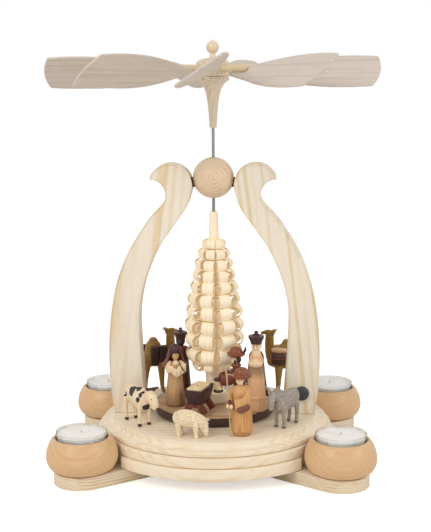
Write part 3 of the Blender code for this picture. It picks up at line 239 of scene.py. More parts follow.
def wood(
    name, early, late, ring=4.2, waver=2.2, streak=0.10, pore=0.0, fleck="#8a6a45", gloss=0.5, relief=0.25,
    painted_glow=0.0, paint=None,
):
    """Bare or stained wood in the colours of its early and late growth, matt to silky.

    Growth rings are sine waves of the distance from the pith, ring millimetres apart. Noise moves
    them by a few millimetres and makes some fainter, more slowly along the grain. Fine fibres are
    noise about a millimetre wide and drawn out along the grain; they shade the colour by the
    streak share and raise the surface a little. Pores are the dark peaks of a finer noise, drawn
    coarser than the real ones so that they show. What is painted on the wood comes last. The
    wood gives off a faint painted light of its late colour, set by painted_glow, which lifts its
    shaded side.
    """
    material = bpy.data.materials.new(name)
    tree = blank(material)
    timber = add(tree, "Attribute", {"attribute_name": "timber"})
    grain = add(tree, "Mapping", {"Scale": (45, 1000, 1000)}, {"Vector": (timber, "Vector")})
    drift = add(tree, "TexNoise", {"Scale": 0.07, "Detail": 2.0}, {"Vector": (grain, "Vector")})
    drift = add(tree, "VectorMath", {"operation": "SUBTRACT", 1: (0.5, 0.5, 0.5)}, {0: (drift, "Color")})
    moved = add(tree, "VectorMath", {"operation": "MULTIPLY_ADD", 1: (0, waver * 3, waver * 3)}, {
        0: (drift, "Vector"), 2: (grain, "Vector"),
    })
    rings = add(tree, "TexWave", {
        "wave_type": "RINGS", "rings_direction": "X", "Scale": math.pi / 10 / ring, "Distortion": 0.0,
    }, {"Vector": (moved, "Vector")})
    strong = add(tree, "TexNoise", {"Scale": 0.11, "Detail": 2.0}, {"Vector": (grain, "Vector")})
    strong = add(tree, "MapRange", {
        "From Min": 0.35, "From Max": 0.62, "To Min": 0.3, "To Max": 1.0,
    }, {"Value": (strong, "Fac")})
    rings = add(tree, "Math", {"operation": "MULTIPLY"}, {0: (rings, "Fac"), 1: (strong, "Result")})
    figure = add(tree, "ValToRGB", {"stops": (
        (0.0, linear(early)), (0.30, linear(early)), (0.95, linear(late)),
    )}, {"Fac": (rings, "Value")})
    fibres = add(
        tree, "TexNoise", {"Scale": 0.9, "Detail": 4.0, "Roughness": 0.62}, {"Vector": (grain, "Vector")},
    )
    shade = add(tree, "MapRange", {
        "From Min": 0.3, "From Max": 0.7, "To Min": 1 - streak, "To Max": 1 + streak * 0.55,
    }, {"Value": (fibres, "Fac")})
    colour = (add(tree, "VectorMath", {"operation": "SCALE"}, {
        0: (figure, "Color"), "Scale": (shade, "Result"),
    }), "Vector")
    if pore:
        pores = add(tree, "TexNoise", {"Scale": 2.2, "Detail": 1.0}, {"Vector": (grain, "Vector")})
        dark = add(tree, "MapRange", {
            "From Min": 0.60, "From Max": 0.72, "To Min": 0.0, "To Max": pore,
        }, {"Value": (pores, "Fac")})
        colour = (add(tree, "Mix", {"data_type": "RGBA", 7: linear(fleck)}, {
            0: (dark, "Result"), 6: colour,
        }), 2)
    if paint:
        colour = paint(tree, timber, colour)
    sheen = add(tree, "MapRange", {
        "From Min": 0.3, "From Max": 0.7, "To Min": gloss - 0.06, "To Max": gloss + 0.08,
    }, {"Value": (fibres, "Fac")})
    raised = add(tree, "Bump", {"Strength": relief, "Distance": 0.0002}, {"Height": (fibres, "Fac")})
    body = add(tree, "BsdfPrincipled", {
        "IOR": 1.5, "Specular IOR Level": 0.42, "Emission Color": linear(late), "Emission Strength": painted_glow,
    }, {
        "Base Color": colour, "Roughness": (sheen, "Result"), "Normal": (raised, "Normal"),
    })
    add(tree, "OutputMaterial", links={"Surface": (body, "BSDF")})
    return material


def fitted(piece, material, slot, body, *nodes):
    """Give a piece its finish, let it ride on a body and stand for CAD nodes; the slot is not used."""
    piece.data.materials.append(material)
    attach(piece, body)
    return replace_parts(piece, *nodes)


# Sawn ash, planed and oiled: pale cream with tan streaks along the grain, silky but not shiny.
foot_ash = wood("sawn ash of the foot boards", "#ebdcc4", "#d9bd93", ring=2.3, waver=1.0, pore=0.2)
half_turn = np.linspace(-90, 90, POINTS_ROUND_END)
rim = np.radians(np.concatenate([half_turn, half_turn + 180, [270]]))
end = np.repeat([BOWL_DISTANCE, -BOWL_DISTANCE, BOWL_DISTANCE], [POINTS_ROUND_END, POINTS_ROUND_END, 1])
for level, side in (("lower", 1), ("upper", -1)):
    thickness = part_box(f"foot_board_{level}")[1].z
    face = BOARD_WIDTH / 2
    edge = eased([(-face, 0), (0, 0), (0, thickness), (-face, thickness)], BOARD_EASE)
    board = surface(
        f"footboard_{level}", slab(np.stack([end, 0 * end], axis=-1), rim, face, edge),
        place=Matrix.Rotation(math.radians(BOARD_BEARING * side), 4, "Z"), pith=(0.2, 0.012 * side, -0.09),
    )
    if level == "upper":
        lap = bmesh.new()
        bmesh.ops.create_cube(lap, size=1.0, matrix=(
            Matrix.Rotation(math.radians(BOARD_BEARING), 4, "Z")
            @ Matrix.Diagonal((LAP_CUTTER_LENGTH, BOARD_WIDTH, thickness, 1))
        ))
        cutter = bpy.data.objects.new("half_lap", bpy.data.meshes.new("half_lap"))
        lap.to_mesh(cutter.data)
        lap.free()
        bpy.context.scene.collection.objects.link(cutter)
        cut = board.modifiers.new("half lap", "BOOLEAN")
        cut.object = cutter
        cut.solver = "EXACT"
        bpy.context.view_layer.update()
        shaped = board.evaluated_get(bpy.context.evaluated_depsgraph_get())
        board.data = bpy.data.meshes.new_from_object(shaped)
        board.modifiers.clear()
        bpy.data.objects.remove(cutter)
    fitted(board, foot_ash, "foot_board", "stand", f"foot_board_{level}")


# Stepped base. Two ash discs with a round notch for each bowl, and the stage plate, whose edge is
# coved down to a thin rim, are glued on each other. Their grain runs from left to right.
DISC_RADIUS = 0.1035
DRUM_RADIUS = 0.0995
NOTCH_RADIUS = 0.031
STAGE_RADIUS = 0.0872
STAGE_RIM = 0.0088
STAGE_RIM_THICKNESS = 0.0042
STAGE_COVE = 0.0036


def notched(radius):
    """Bearings round a disc and its radius at each: its own, or as far as the nearest notch allows.

    A notch is a circle about a bowl. Along a bearing that misses the bowl's middle by an angle, it
    begins where a line from the shaft at that angle first meets the circle.
    """
    share = (radius ** 2 + BOWL_DISTANCE ** 2 - NOTCH_RADIUS ** 2) / (2 * radius * BOWL_DISTANCE)
    half_gap = math.degrees(math.acos(share))
    bowls = np.array([-BOARD_BEARING, BOARD_BEARING, 180 - BOARD_BEARING, 180 + BOARD_BEARING])
    cuts = bowls[:, None] + np.linspace(-half_gap, half_gap, 25)
    rims = np.linspace(bowls + half_gap, np.roll(bowls, -1) + [0, 0, 0, 360] - half_gap, 31).T[:, 1:-1]
    bearings = np.radians(np.append(np.hstack([cuts, rims]).ravel(), cuts[0, 0] + 360))
    off = (np.degrees(bearings)[:, None] - bowls + 180) % 360 - 180
    near = np.radians(off[np.arange(len(off)), np.abs(off).argmin(axis=1)])
    room = np.clip(NOTCH_RADIUS ** 2 - (BOWL_DISTANCE * np.sin(near)) ** 2, 0, None)
    first = np.where(room > 0, BOWL_DISTANCE * np.cos(near) - np.sqrt(room), radius)
    return bearings, np.minimum(first, radius)


def revolved(profile, sides=96):
    """A (radius, height) profile turned about Z: every point runs once round its own circle."""
    radius, height = np.asarray(profile, float).T
    angle = np.linspace(0, math.tau, sides + 1)
    x, y = np.outer(radius, np.cos(angle)), np.outer(radius, np.sin(angle))
    return np.stack([x, y, np.broadcast_to(height[:, None], x.shape)], axis=-1)


# Sawn ash as on the foot boards, a little warmer: its layers show as bands on the rounded edges.
base_ash = wood("sawn ash of the base", "#f5e8d3", "#edd9b9", ring=4.6, waver=0.8, streak=0.06, pore=0.15)
for node, radius, name, pith in (
    ("base_disc", DISC_RADIUS, "lowest_disc", (0.0, 0.11, -0.16)),
    ("base_drum", DRUM_RADIUS, "middle_disc", (0.1, 0.14, -0.15)),
):
    low, high = (corner.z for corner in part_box(node))
    bearings, radii = notched(radius)
    edge = eased([(-radius, low), (0, low), (0, high), (-radius, high)], 0.0011)
    disc = surface(name, slab(np.zeros((1, 2)), bearings, radii, edge), pith=pith)
    fitted(disc, base_ash, node, "stand", node)
low, high = (corner.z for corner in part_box("stage_plate"))
rim = STAGE_RADIUS + STAGE_RIM
ledge = low + STAGE_RIM_THICKNESS
sweep = np.radians(np.linspace(270, 180, 9))
cove = (STAGE_RADIUS, ledge) + STAGE_COVE * (1 + np.stack([np.cos(sweep), np.sin(sweep)], axis=-1))
lower = eased([(0, low), (rim, low), (rim, ledge), cove[0]], 0.0012)
upper = eased([cove[-1], (STAGE_RADIUS, high), (0, high)], 0.0011)
fitted(
    surface("stage", revolved(np.vstack([lower[:-1], cove, upper[1:]]), 128), pith=(0.05, 0.13, -0.17)),
    base_ash, "stage", "stand", "stage_plate",
)


# Cup for the shaft's point. A small turned brass cup let into the stage, out of sight under the
# turntable, and the bush of the same brass in the ball. Both keep their shape from the model.


def metal(name, colour, marks, detail, smoothest):
    """Bare metal. Its tool marks are noise with the given scales, per metre along X, Y and Z, and
    dull its gloss from the smoothest on."""
    material = bpy.data.materials.new(name)
    tree = blank(material)
    drawn = add(tree, "Mapping", {"Scale": marks}, {"Vector": (add(tree, "TexCoord"), "Object")})
    lines = add(tree, "TexNoise", {"Scale": 1.0, "Detail": detail}, {"Vector": (drawn, "Vector")})
    dull = add(tree, "MapRange", {"To Min": smoothest, "To Max": 0.42}, {"Value": (lines, "Fac")})
    body = add(tree, "BsdfPrincipled", {"Base Color": linear(colour), "Metallic": 1.0}, {
        "Roughness": (dull, "Result"),
    })
    add(tree, "OutputMaterial", links={"Surface": (body, "BSDF")})
    return material


# Turned brass: a warm yellow metal with fine turning marks.
brass = metal("turned brass", "#d3a860", (2200, 2200, 2200), 2.0, 0.22)
for node in ("thrust_cup", "ball_bush"):
    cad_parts[node].data.materials.clear()
    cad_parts[node].data.materials.append(brass)


# Candle bowls. Four beech bowls turned from the solid, with a full belly and a seat bored for a
# tealight. Turned beech: an even orange tan with short dark flecks, sanded and silky.
BOWL_RADIUS = 0.0288
BOWL_FOOT = 0.0218
BOWL_RIM = 0.0224
BOWL_SEAT = 0.02095
BOWL_FLOOR = 0.0135


def smooth(points, steps=8):
    """A Catmull-Rom curve through the points, with even steps between each pair."""
    points = np.asarray(points, float)
    padded = np.vstack([2 * points[0] - points[1], points, 2 * points[-1] - points[-2]])
    before, start, end, after = padded[:-3], padded[1:-2], padded[2:-1], padded[3:]
    t = (np.arange(steps) / steps)[:, None, None]
    bend = (end - before) * t + (2 * before - 5 * start + 4 * end - after) * t ** 2
    curve = start + (bend + (3 * start - before - 3 * end + after) * t ** 3) / 2
    return np.vstack([curve.transpose(1, 0, 2).reshape(-1, points.shape[1]), points[-1:]])


def stood(distance, bearing, height, heading=0.0):
    """A place at a distance and bearing from the shaft and at a height, turned to a heading."""
    angle = math.radians(bearing)
    return (
        Matrix.Translation((distance * math.cos(angle), distance * math.sin(angle), height))
        @ Matrix.Rotation(math.radians(heading), 4, "Z")
    )


turned_beech = wood(
    "turned beech of the bowls", "#deb98e", "#dab386", ring=4.0, waver=2.0, streak=0.05,
    pore=0.3, fleck="#a9733f", gloss=0.34, relief=0.1,
)
BOWLS = {
    "front_right": -BOARD_BEARING, "front_left": BOARD_BEARING - 180,
    "rear_left": 180 - BOARD_BEARING, "rear_right": BOARD_BEARING,
}
for corner, bearing in BOWLS.items():
    low, high = (at.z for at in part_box(f"candle_bowl_{corner}"))
    height = high - low
    belly = smooth([
        (BOWL_FOOT, 0.0), (0.0262, height * 0.12), (BOWL_RADIUS - 0.0001, height * 0.37),
        (0.0277, height * 0.66), (0.0248, height * 0.90), (BOWL_RIM, height),
    ])
    seat = eased([
        (BOWL_RIM, height), (BOWL_SEAT + 0.0004, height), (BOWL_SEAT, height - 0.0006),
        (BOWL_SEAT, BOWL_FLOOR), (0, BOWL_FLOOR),
    ], 0.0005)
    profile = np.vstack([[(0, 0)], belly[:-1], seat])
    bowl = surface(
        f"turned_bowl_{corner}", revolved(profile), place=stood(BOWL_DISTANCE, bearing, low),
        pith=(bearing / 400, 0.02, -0.03),
    )
    fitted(bowl, turned_beech, "bowl", "stand", f"candle_bowl_{corner}")


# Tealights. Each is a thin clear cup, blown from plastic, filled with white wax nearly to its rim,
# with a short waxed cotton wick. They stand loose in the bowls.
CUP_WALL = 0.0007
CUP_TAPER = 0.0007
WAX_GAP = 0.0002
WAX_TOP = 0.0152

# Clear polystyrene: colourless and glossy, it shows as bright and dark lines along its rim. Part of
# the light goes straight through, so that the wax behind it stays white.
clear_cup = bpy.data.materials.new("clear polystyrene")
tree = blank(clear_cup)
flow = add(tree, "TexNoise", {"Scale": 160.0, "Detail": 1.0}, {"Vector": (add(tree, "TexCoord"), "Object")})
waves = add(tree, "Bump", {"Strength": 0.05, "Distance": 0.0002}, {"Height": (flow, "Fac")})
clear = add(tree, "BsdfPrincipled", {
    "Base Color": linear("#f7fafa"), "Roughness": 0.03, "IOR": 1.55, "Transmission Weight": 1.0,
    "Alpha": 0.75,
}, {"Normal": (waves, "Normal")})
add(tree, "OutputMaterial", links={"Surface": (clear, "BSDF")})

# Paraffin wax: soft white that lets a little light in, with faint hollows from setting.
paraffin = bpy.data.materials.new("poured paraffin wax")
tree = blank(paraffin)
where = add(tree, "TexCoord")
cloud = add(tree, "TexNoise", {"Scale": 130.0, "Detail": 3.0}, {"Vector": (where, "Object")})
tone = add(tree, "ValToRGB", {"stops": ((0.35, linear("#ecebe9")), (0.65, linear("#f8f7f5")))}, {
    "Fac": (cloud, "Fac"),
})
dents = add(tree, "Bump", {"Strength": 0.25, "Distance": 0.0006}, {"Height": (cloud, "Fac")})
wax = add(tree, "BsdfPrincipled", {
    "Roughness": 0.38, "IOR": 1.44, "Subsurface Weight": 0.25, "Subsurface Scale": 0.002,
    "Subsurface Radius": (1.0, 0.9, 0.8),
}, {"Base Color": (tone, "Color"), "Normal": (dents, "Normal")})
add(tree, "OutputMaterial", links={"Surface": (wax, "BSDF")})

# Braided cotton, waxed: off-white, with twist lines across it every half millimetre.
cotton = bpy.data.materials.new("waxed cotton braid")
tree = blank(cotton)
twist = add(tree, "TexWave", {"Scale": math.pi / 10 / 0.0005, "bands_direction": "DIAGONAL"}, {
    "Vector": (add(tree, "TexCoord"), "Object"),
})
tone = add(tree, "ValToRGB", {"stops": ((0.2, linear("#bdb6a8")), (0.8, linear("#efebe2")))}, {
    "Fac": (twist, "Fac"),
})
braid = add(tree, "BsdfPrincipled", {"Roughness": 0.7}, {"Base Color": (tone, "Color")})
add(tree, "OutputMaterial", links={"Surface": (braid, "BSDF")})

for corner in BOWLS:
    low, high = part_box(f"tealight_cup_{corner}")
    place = Matrix.Translation(((low.x + high.x) / 2, (low.y + high.y) / 2, low.z))
    radius = (high.x - low.x) / 2
    tall = high.z - low.z
    foot = radius - CUP_TAPER
    cup = eased([
        (0, 0), (foot, 0), (radius - 0.0003, tall - 0.0006), (radius, tall),
        (radius - CUP_WALL, tall), (foot - CUP_WALL, CUP_WALL), (0, CUP_WALL),
    ], 0.0003)
    body = f"tealight_{corner}"
    fitted(
        surface(f"clear_cup_{corner}", revolved(cup), place=place), clear_cup, "cup", body,
        f"tealight_cup_{corner}",
    )
    inset = CUP_WALL + WAX_GAP
    fill = eased([
        (0, inset), (foot - inset, inset), (radius - inset - 0.0002, WAX_TOP + 0.0003),
        (radius - inset - 0.0016, WAX_TOP), (0.003, WAX_TOP - 0.0001), (0.0011, WAX_TOP + 0.0007),
        (0, WAX_TOP + 0.0007),
    ], 0.0004)
    fitted(
        surface(f"wax_fill_{corner}", revolved(fill), place=place), paraffin, "wax", body, f"wax_{corner}",
    )
    wick = eased([
        (0, WAX_TOP), (0.0007, WAX_TOP), (0.0008, WAX_TOP + 0.0015), (0.0006, WAX_TOP + 0.0030),
        (0, WAX_TOP + 0.0031),
    ], 0.0002)
    fitted(
        surface(f"wick_braid_{corner}", revolved(wick, 16), place=place), cotton, "wick", body,
        f"wick_{corner}",
    )


# Arches. Two scroll-sawn S-shaped boards of ash, 22 mm thick, stand on the stage and hold the ball
# between their round heads. The grain runs up the board; the sawn edges are sanded and eased.
ARCH_REACH = 0.089
HEAD_RADIUS = 0.0183
HEAD_UNDER_BALL = 0.0059
SCROLL_RADIUS = 0.0127
SCROLL_MIDDLE = (0.0167, -0.0076)
BALL_CLEARANCE = 0.0006
GRAIN_LEAN = 7.0
OUTER_SHARES = (
    (0.960, 0.0), (0.997, 0.155), (0.999, 0.282), (0.970, 0.418), (0.908, 0.541), (0.792, 0.660),
    (0.611, 0.779),
)
INNER_SHARES = (
    (0.653, 0.0), (0.683, 0.164), (0.701, 0.282), (0.704, 0.418), (0.645, 0.541), (0.525, 0.660),
    (0.398, 0.739), (0.254, 0.826),
)


def arc(middle, radius, start, end, steps):
    """Points on a circle about a middle, from one bearing to another."""
    angle = np.radians(np.linspace(start, end, steps))
    return np.stack([middle[0] + radius * np.cos(angle), middle[1] + radius * np.sin(angle)], axis=-1)


def evened(line, count):
    """A line of points drawn again with a count of points at even distances along it."""
    along = np.append(0, np.cumsum(np.linalg.norm(np.diff(line, axis=0), axis=1)))
    at = np.linspace(0, along[-1], count)
    return np.stack([np.interp(at, along, line[:, axis]) for axis in range(line.shape[1])], axis=-1)


def sawn(inner, outer, low, high, ease):
    """A board sawn between an inner and an outer edge: at each step up the board, an eased
    rectangle runs from the inner to the outer edge and from the low to the high face.

    The first row is drawn together to close the foot. The last, where the edges meet, is the tip.
    """
    span = np.linalg.norm(outer - inner, axis=1)
    inset = np.minimum(ease / np.maximum(span, 1e-9), 0.45)
    turn = np.linspace(0, math.pi / 2, 4)
    ends = 1 - np.cos(turn)
    depth = ease * (1 - np.sin(turn))
    share = np.concatenate([inset[:, None] * ends[::-1], 1 - inset[:, None] * ends], axis=1)
    share = np.concatenate([share, share[:, ::-1], share[:, :1]], axis=1)
    face = np.concatenate([low + depth[::-1], low + depth])
    level = np.concatenate([face, high + low - face[::-1], face[:1]])
    flat = inner[:, None] + (outer - inner)[:, None] * share[..., None]
    grid = np.stack([flat[..., 0], np.broadcast_to(level, share.shape), flat[..., 1]], axis=-1)
    foot = grid[:1].copy()
    foot[..., 1] = (low + high) / 2
    return np.concatenate([foot, grid])


low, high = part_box("arch_right")
foot, tall = low.z, high.z - low.z
ball_low, ball_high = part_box("bearing_ball")
ball_radius = (ball_high.x - ball_low.x) / 2
ball_height = (ball_high.z + ball_low.z) / 2
head_from_ball = ball_radius + BALL_CLEARANCE + HEAD_RADIUS
head = np.array([math.sqrt(head_from_ball ** 2 - HEAD_UNDER_BALL ** 2), tall - HEAD_RADIUS])
scroll = head + SCROLL_MIDDLE
tip = scroll + (0, SCROLL_RADIUS) - head
size = np.array([ARCH_REACH, tall])
hook = arc(scroll, SCROLL_RADIUS, 230, 90, 29)
crown = arc(head, HEAD_RADIUS, 200, math.degrees(math.atan2(tip[1], tip[0])), 29)
crown[-1] = hook[-1]
outer = np.vstack([evened(smooth(np.vstack([OUTER_SHARES * size, hook[:1]])), 49)[:-1], hook])
inner = np.vstack([evened(smooth(np.vstack([INNER_SHARES * size, crown[:1]])), 49)[:-1], crown])
# Sawn ash of the arches: cream with soft tan streaks about 5 mm apart that run up the board.
arch_ash = wood("sawn ash of the arches", "#f0e7d8", "#e5d2b0", ring=5.2, waver=2.6, streak=0.05, pore=0.12)
grid = sawn(inner, outer, low.y, high.y, 0.0008)
lean = math.radians(GRAIN_LEAN)
lay = np.stack([
    grid[..., 2] * math.cos(lean) - grid[..., 0] * math.sin(lean), grid[..., 1],
    grid[..., 0] * math.cos(lean) + grid[..., 2] * math.sin(lean),
], axis=-1)
for side, name in ((1, "right"), (-1, "left")):
    place = Matrix.Translation((0, 0, foot)) @ Matrix.Diagonal((side, 1, 1, 1))
    arch = surface(
        f"scroll_arch_{name}", grid, place=place, coiled=[lay],
        pith=(0.3 * side, 0.045, 0.11 + 0.02 * side),
    )
    fitted(arch, arch_ash, "arch", "stand", f"arch_{name}")


# Dowels, ball and button. Two dark dowels pin the arches to a turned beech ball with a brass bush
# for the shaft, and a plain dark domed button covers a screw in the right arch.
DOWEL_RADIUS = 0.0042
DOWEL_DROP = 0.0037
BALL_BORE = 0.0033

# Smoked walnut, turned: nearly black brown with faint streaks.
smoked_walnut = wood("smoked walnut", "#4b322b", "#33211d", ring=2.0, streak=0.16, gloss=0.42, relief=0.15)
for side, name in ((1, "right"), (-1, "left")):
    low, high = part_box(f"arch_dowel_{name}")
    length = high.x - low.x
    profile = eased([(0, 0), (DOWEL_RADIUS, 0), (DOWEL_RADIUS, length), (0, length)], 0.0003)
    place = Matrix.Translation((low.x, 0, ball_height - DOWEL_DROP)) @ Matrix.Rotation(math.pi / 2, 4, "Y")
    pin = surface(
        f"dowel_pin_{name}", revolved(profile, 32), place=place, grain=(2, 0, 1), pith=(0, 0.01, 0),
    )
    fitted(pin, smoked_walnut, "dark_dowel", "stand", f"arch_dowel_{name}")

# Turned beech of the ball: its grain points to the viewer, so the rings show as a target.
ball_beech = wood(
    "turned beech of the ball", "#e7d1b5", "#dec19b", ring=3.1, waver=0.8, streak=0.06,
    pore=0.2, fleck="#b98a55", gloss=0.38, relief=0.1,
)
start = math.degrees(math.acos(BALL_BORE / ball_radius))
outline = arc((0, 0), ball_radius, -start, start, 49)
profile = np.vstack([outline, outline[:1]])
ball = surface(
    "turned_ball", revolved(profile, 96), place=Matrix.Translation((0, 0, ball_height)),
    grain=(1, 0, 2), pith=(0, 0.0015, 0.001),
)
fitted(ball, ball_beech, "ball", "stand", "bearing_ball")

# Dark lacquered wood: near black grey with a soft gloss.
button_grey = wood(
    "dark lacquered button", "#43454a", "#34363a", ring=1.5, streak=0.2, gloss=0.33, relief=0.1,
)
low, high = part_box("seal_button")
radius = (high.x - low.x) / 2
depth = high.y - low.y
turn = np.radians(np.linspace(0, 90, 13))
dome = np.stack([
    (radius - 0.0006) * np.cos(turn) + 0.0006, depth * 0.3 + depth * 0.7 * np.sin(turn),
], axis=-1)
profile = np.vstack([[(0, 0), (radius, 0), (radius, depth * 0.3)], dome[1:-1], [(0, depth)]])
middle = Vector(((low.x + high.x) / 2, high.y, (low.z + high.z) / 2))
place = Matrix.Translation(middle) @ Matrix.Rotation(math.pi / 2, 4, "X")
fitted(
    surface("plain_button", revolved(profile, 64), place=place), button_grey, "seal_button", "stand",
    "seal_button",
)


# Shaft. A drawn steel rod, ground to a point below, runs from the cup in the stage through
# turntable, tree and ball into the funnel. Drawn steel: mid grey with fine scratches along it.
drawn_steel = metal("drawn steel", "#8f9194", (3000, 3000, 60), 3.0, 0.24)
low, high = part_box("shaft")
radius = (high.x - low.x) / 2
profile = eased([(0, low.z), (radius, low.z + 0.003), (radius, high.z), (0, high.z)], 0.0003)
fitted(surface("steel_rod", revolved(profile, 32)), drawn_steel, "shaft", "rotor", "shaft")


# Turntable. A turned disc of smoked walnut with an undercut edge, and a thin paler plate let in
# flush with its rim, on which the figures stand. It turns a millimetre above the stage, and its
# dark edge reaches down nearly to it: partly real dark wood, partly painted shade of the gap beneath.
SHAFT_BORE = 0.00165
low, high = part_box("turntable_disc")
top_low, top_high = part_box("turntable_inlay")
radius = high.x
seat = radius - 0.0008
profile = eased([
    (SHAFT_BORE, low.z), (radius - 0.0013, low.z), (radius, high.z - 0.0004), (radius - 0.0002, high.z),
    (seat, high.z), (seat, top_low.z - 0.0003), (SHAFT_BORE, top_low.z - 0.0003), (SHAFT_BORE, low.z),
], 0.0003)
# On the turntable, the lower part of this dark walnut edge is also painted shade of the gap above the
# stage.
dark_rim = wood(
    "smoked walnut of the turntable", "#503730", "#3a2620", ring=2.6, streak=0.18, gloss=0.4, relief=0.15,
)
fitted(
    surface("turntable_rim", revolved(profile, 128), pith=(0, 0.02, -0.04)),
    dark_rim, "turntable", "rotor", "turntable_disc",
)
# Veneer of pear wood, smoked: an even brownish tan, matt.
pear_veneer = wood(
    "smoked pear veneer", "#cfae88", "#b8946c", ring=5.0, waver=3.0, streak=0.10, pore=0.3, fleck="#8a6848",
    gloss=0.5,
)
radius = top_high.x
profile = eased([
    (SHAFT_BORE, top_low.z), (radius, top_low.z), (radius, top_high.z), (SHAFT_BORE, top_high.z),
    (SHAFT_BORE, top_low.z),
], 0.0002)
fitted(
    surface("turntable_top", revolved(profile, 128), pith=(0, 0.03, -0.06)),
    pear_veneer, "inlay", "rotor", "turntable_inlay",
)


# Shaved tree. One round of linden, shaved with a chisel from above: each row leaves eight thin
# shavings that curl over outward and roll up. The round itself stays as foot, core and bare tip.
TREE_COLUMNS = 8
TREE_TURN = 9.0
TREE_FOOT = 0.0185
TREE_REACH = 0.0246
CORE_RADIUS = (0.0076, 0.0044)
ROW_SPACING = (0.0134, 0.0080)
FOOT_ROW_SHARE = 0.58
ROW_SHARES = np.array([0.74, 0.93, 0.98, 1.0, 0.94, 0.88, 0.79, 0.71, 0.625, 0.51, 0.38])
CURL_SHARE = 0.93
CURL_START = 38.0
SHAVING = 0.00038

# Fresh linden, cut and unsanded: light cream, nearly without figure, matt. The shavings are thin;
# a faint painted light given off by the wood lifts their shaded hollows.
fresh_linden = wood(
    "fresh linden", "#f8ebd3", "#eedab8", ring=3.2, waver=1.5, streak=0.04, gloss=0.6, relief=0.15,
    painted_glow=0.1,
)
low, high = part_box("tree_socket")
radius = (high.x - low.x) / 2
profile = eased([
    (SHAFT_BORE, low.z), (radius, low.z), (radius, high.z - 0.0011), (radius - 0.0011, high.z),
    (SHAFT_BORE, high.z), (SHAFT_BORE, low.z),
], 0.0005)
fitted(
    surface("turned_socket", revolved(profile), grain=(2, 0, 1), pith=(0, 0.02, 0.01)),
    fresh_linden, "socket", "rotor", "tree_socket",
)
low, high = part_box("shaved_tree")
count = len(ROW_SHARES)
spacing = np.linspace(*ROW_SPACING, count) * np.append(FOOT_ROW_SHARE, np.ones(count - 1))
starts = low.z + TREE_FOOT + np.append(0, np.cumsum(spacing)[:-1])
top = starts[-1] + spacing[-1]
core_height = np.concatenate([
    [low.z, low.z], np.linspace(starts[0], top, 40), [high.z - 0.0006, high.z, high.z, low.z],
])
core_radius = np.concatenate([
    [SHAFT_BORE, CORE_RADIUS[0]], np.linspace(*CORE_RADIUS, 40), [0.0034, 0.0028, SHAFT_BORE, SHAFT_BORE],
])
core = revolved(np.stack([core_radius, core_height], axis=-1), 64)
flat = np.pi / TREE_COLUMNS
bearing = np.linspace(0, math.tau, 65) - math.radians(TREE_TURN)
facet = math.cos(flat) / np.cos(bearing % (2 * flat) - flat)
shaved = ((core_height >= starts[0]) & (core_height <= top) & (core_radius > 0.002)) * 1.0
core[..., :2] *= (1 + (facet - 1) * shaved[:, None])[..., None]


def rolled(reach, level, width, curl, turns, tighten, root, steps=30):
    """Shavings as ribbons, one for each entry of the given arrays, in (along, height) side view.

    A shaving leaves the core at its root, rises to the top of its roll and goes round it outward
    and down. From two thirds of a turn on, its radius shrinks to the tighten share, so its end
    lies rolled up inside. It is as wide as given, but not wider than its eighth of the round.
    """
    share = np.linspace(0, 1, steps)
    first = math.radians(CURL_START)
    slope = first - np.radians(turns)[:, None] * share
    done = (first - slope) / math.tau
    radius = curl[:, None] * (1 - (1 - tighten)[:, None] * np.clip((done - 0.62) / 0.35, 0, 1) ** 1.5)
    step = np.radians(turns)[:, None] / (steps - 1) * radius
    out = reach[:, None] - curl[:, None] * (1 + math.sin(first)) + np.cumsum(step * np.cos(slope), axis=1)
    up = level[:, None] + curl[:, None] * (1 + math.cos(first)) + np.cumsum(step * np.sin(slope), axis=1)
    rise = np.linspace(0, 1, 6)[:-1]
    start_out = root[:, None] + (out[:, :1] - root[:, None]) * rise ** 1.6
    start_up = level[:, None] + (up[:, :1] - level[:, None]) * rise
    run = np.arctan2(up[:, :1] - level[:, None], out[:, :1] - root[:, None]) + 0 * rise
    out = np.concatenate([start_out, out], axis=1)
    up = np.concatenate([start_up, up], axis=1)
    slope = np.concatenate([run, slope], axis=1)
    across = np.minimum(width[:, None], 0.78 * out)
    return out, up, slope, across


chance = np.random.default_rng(12)
row, column = (
    part.ravel() for part in np.meshgrid(np.arange(count), np.arange(TREE_COLUMNS), indexing="ij")
)
curl = spacing[row] * CURL_SHARE / 2 * chance.uniform(0.93, 1.06, row.size)
reach = ROW_SHARES[row] * TREE_REACH * chance.uniform(0.965, 1.0, row.size)
level = starts[row] + spacing[row] * chance.uniform(0.0, 0.06, row.size)
root = np.interp(level, [starts[0], top], CORE_RADIUS) - 0.0004
width = spacing[row] * 0.92 * chance.uniform(0.92, 1.04, row.size)
turns = chance.uniform(400, 600, row.size)
out, up, slope, across = rolled(
    reach, level, width, curl, turns, chance.uniform(0.40, 0.60, row.size), root,
)
lean = np.radians(chance.uniform(-4, 4, row.size))[:, None]
middle = math.tau * (column + 0.5)[:, None] / TREE_COLUMNS + math.radians(TREE_TURN)
bearing = middle + lean * (out - root[:, None]) / 0.02
skew = chance.uniform(-0.10, 0.10, row.size)[:, None] * across
ribbons, lays = [], []
travelled = np.cumsum(
    np.hypot(np.diff(out, axis=1, prepend=out[:, :1]), np.diff(up, axis=1, prepend=up[:, :1])), axis=1,
)
for side, lift in ((-1, -1), (0, -1), (1, -1), (1, 1), (0, 1), (-1, 1), (-1, -1)):
    half = across / 2 * side
    thick = SHAVING / 2 * lift
    bow = 0.0004 * (1 - abs(side))
    far = out - np.sin(slope) * (thick + bow)
    tall = up + np.cos(slope) * (thick + bow) + skew * side / 2
    ribbons.append(np.stack([
        far * np.cos(bearing) - half * np.sin(bearing), far * np.sin(bearing) + half * np.cos(bearing),
        tall,
    ], axis=-1))
    lays.append(np.stack([
        travelled + row[:, None] * 0.02, half + column[:, None] * 0.011, 0.03 + thick + 0 * half,
    ], axis=-1))
ribbons = np.stack(ribbons, axis=2)
lays = np.stack(lays, axis=2)
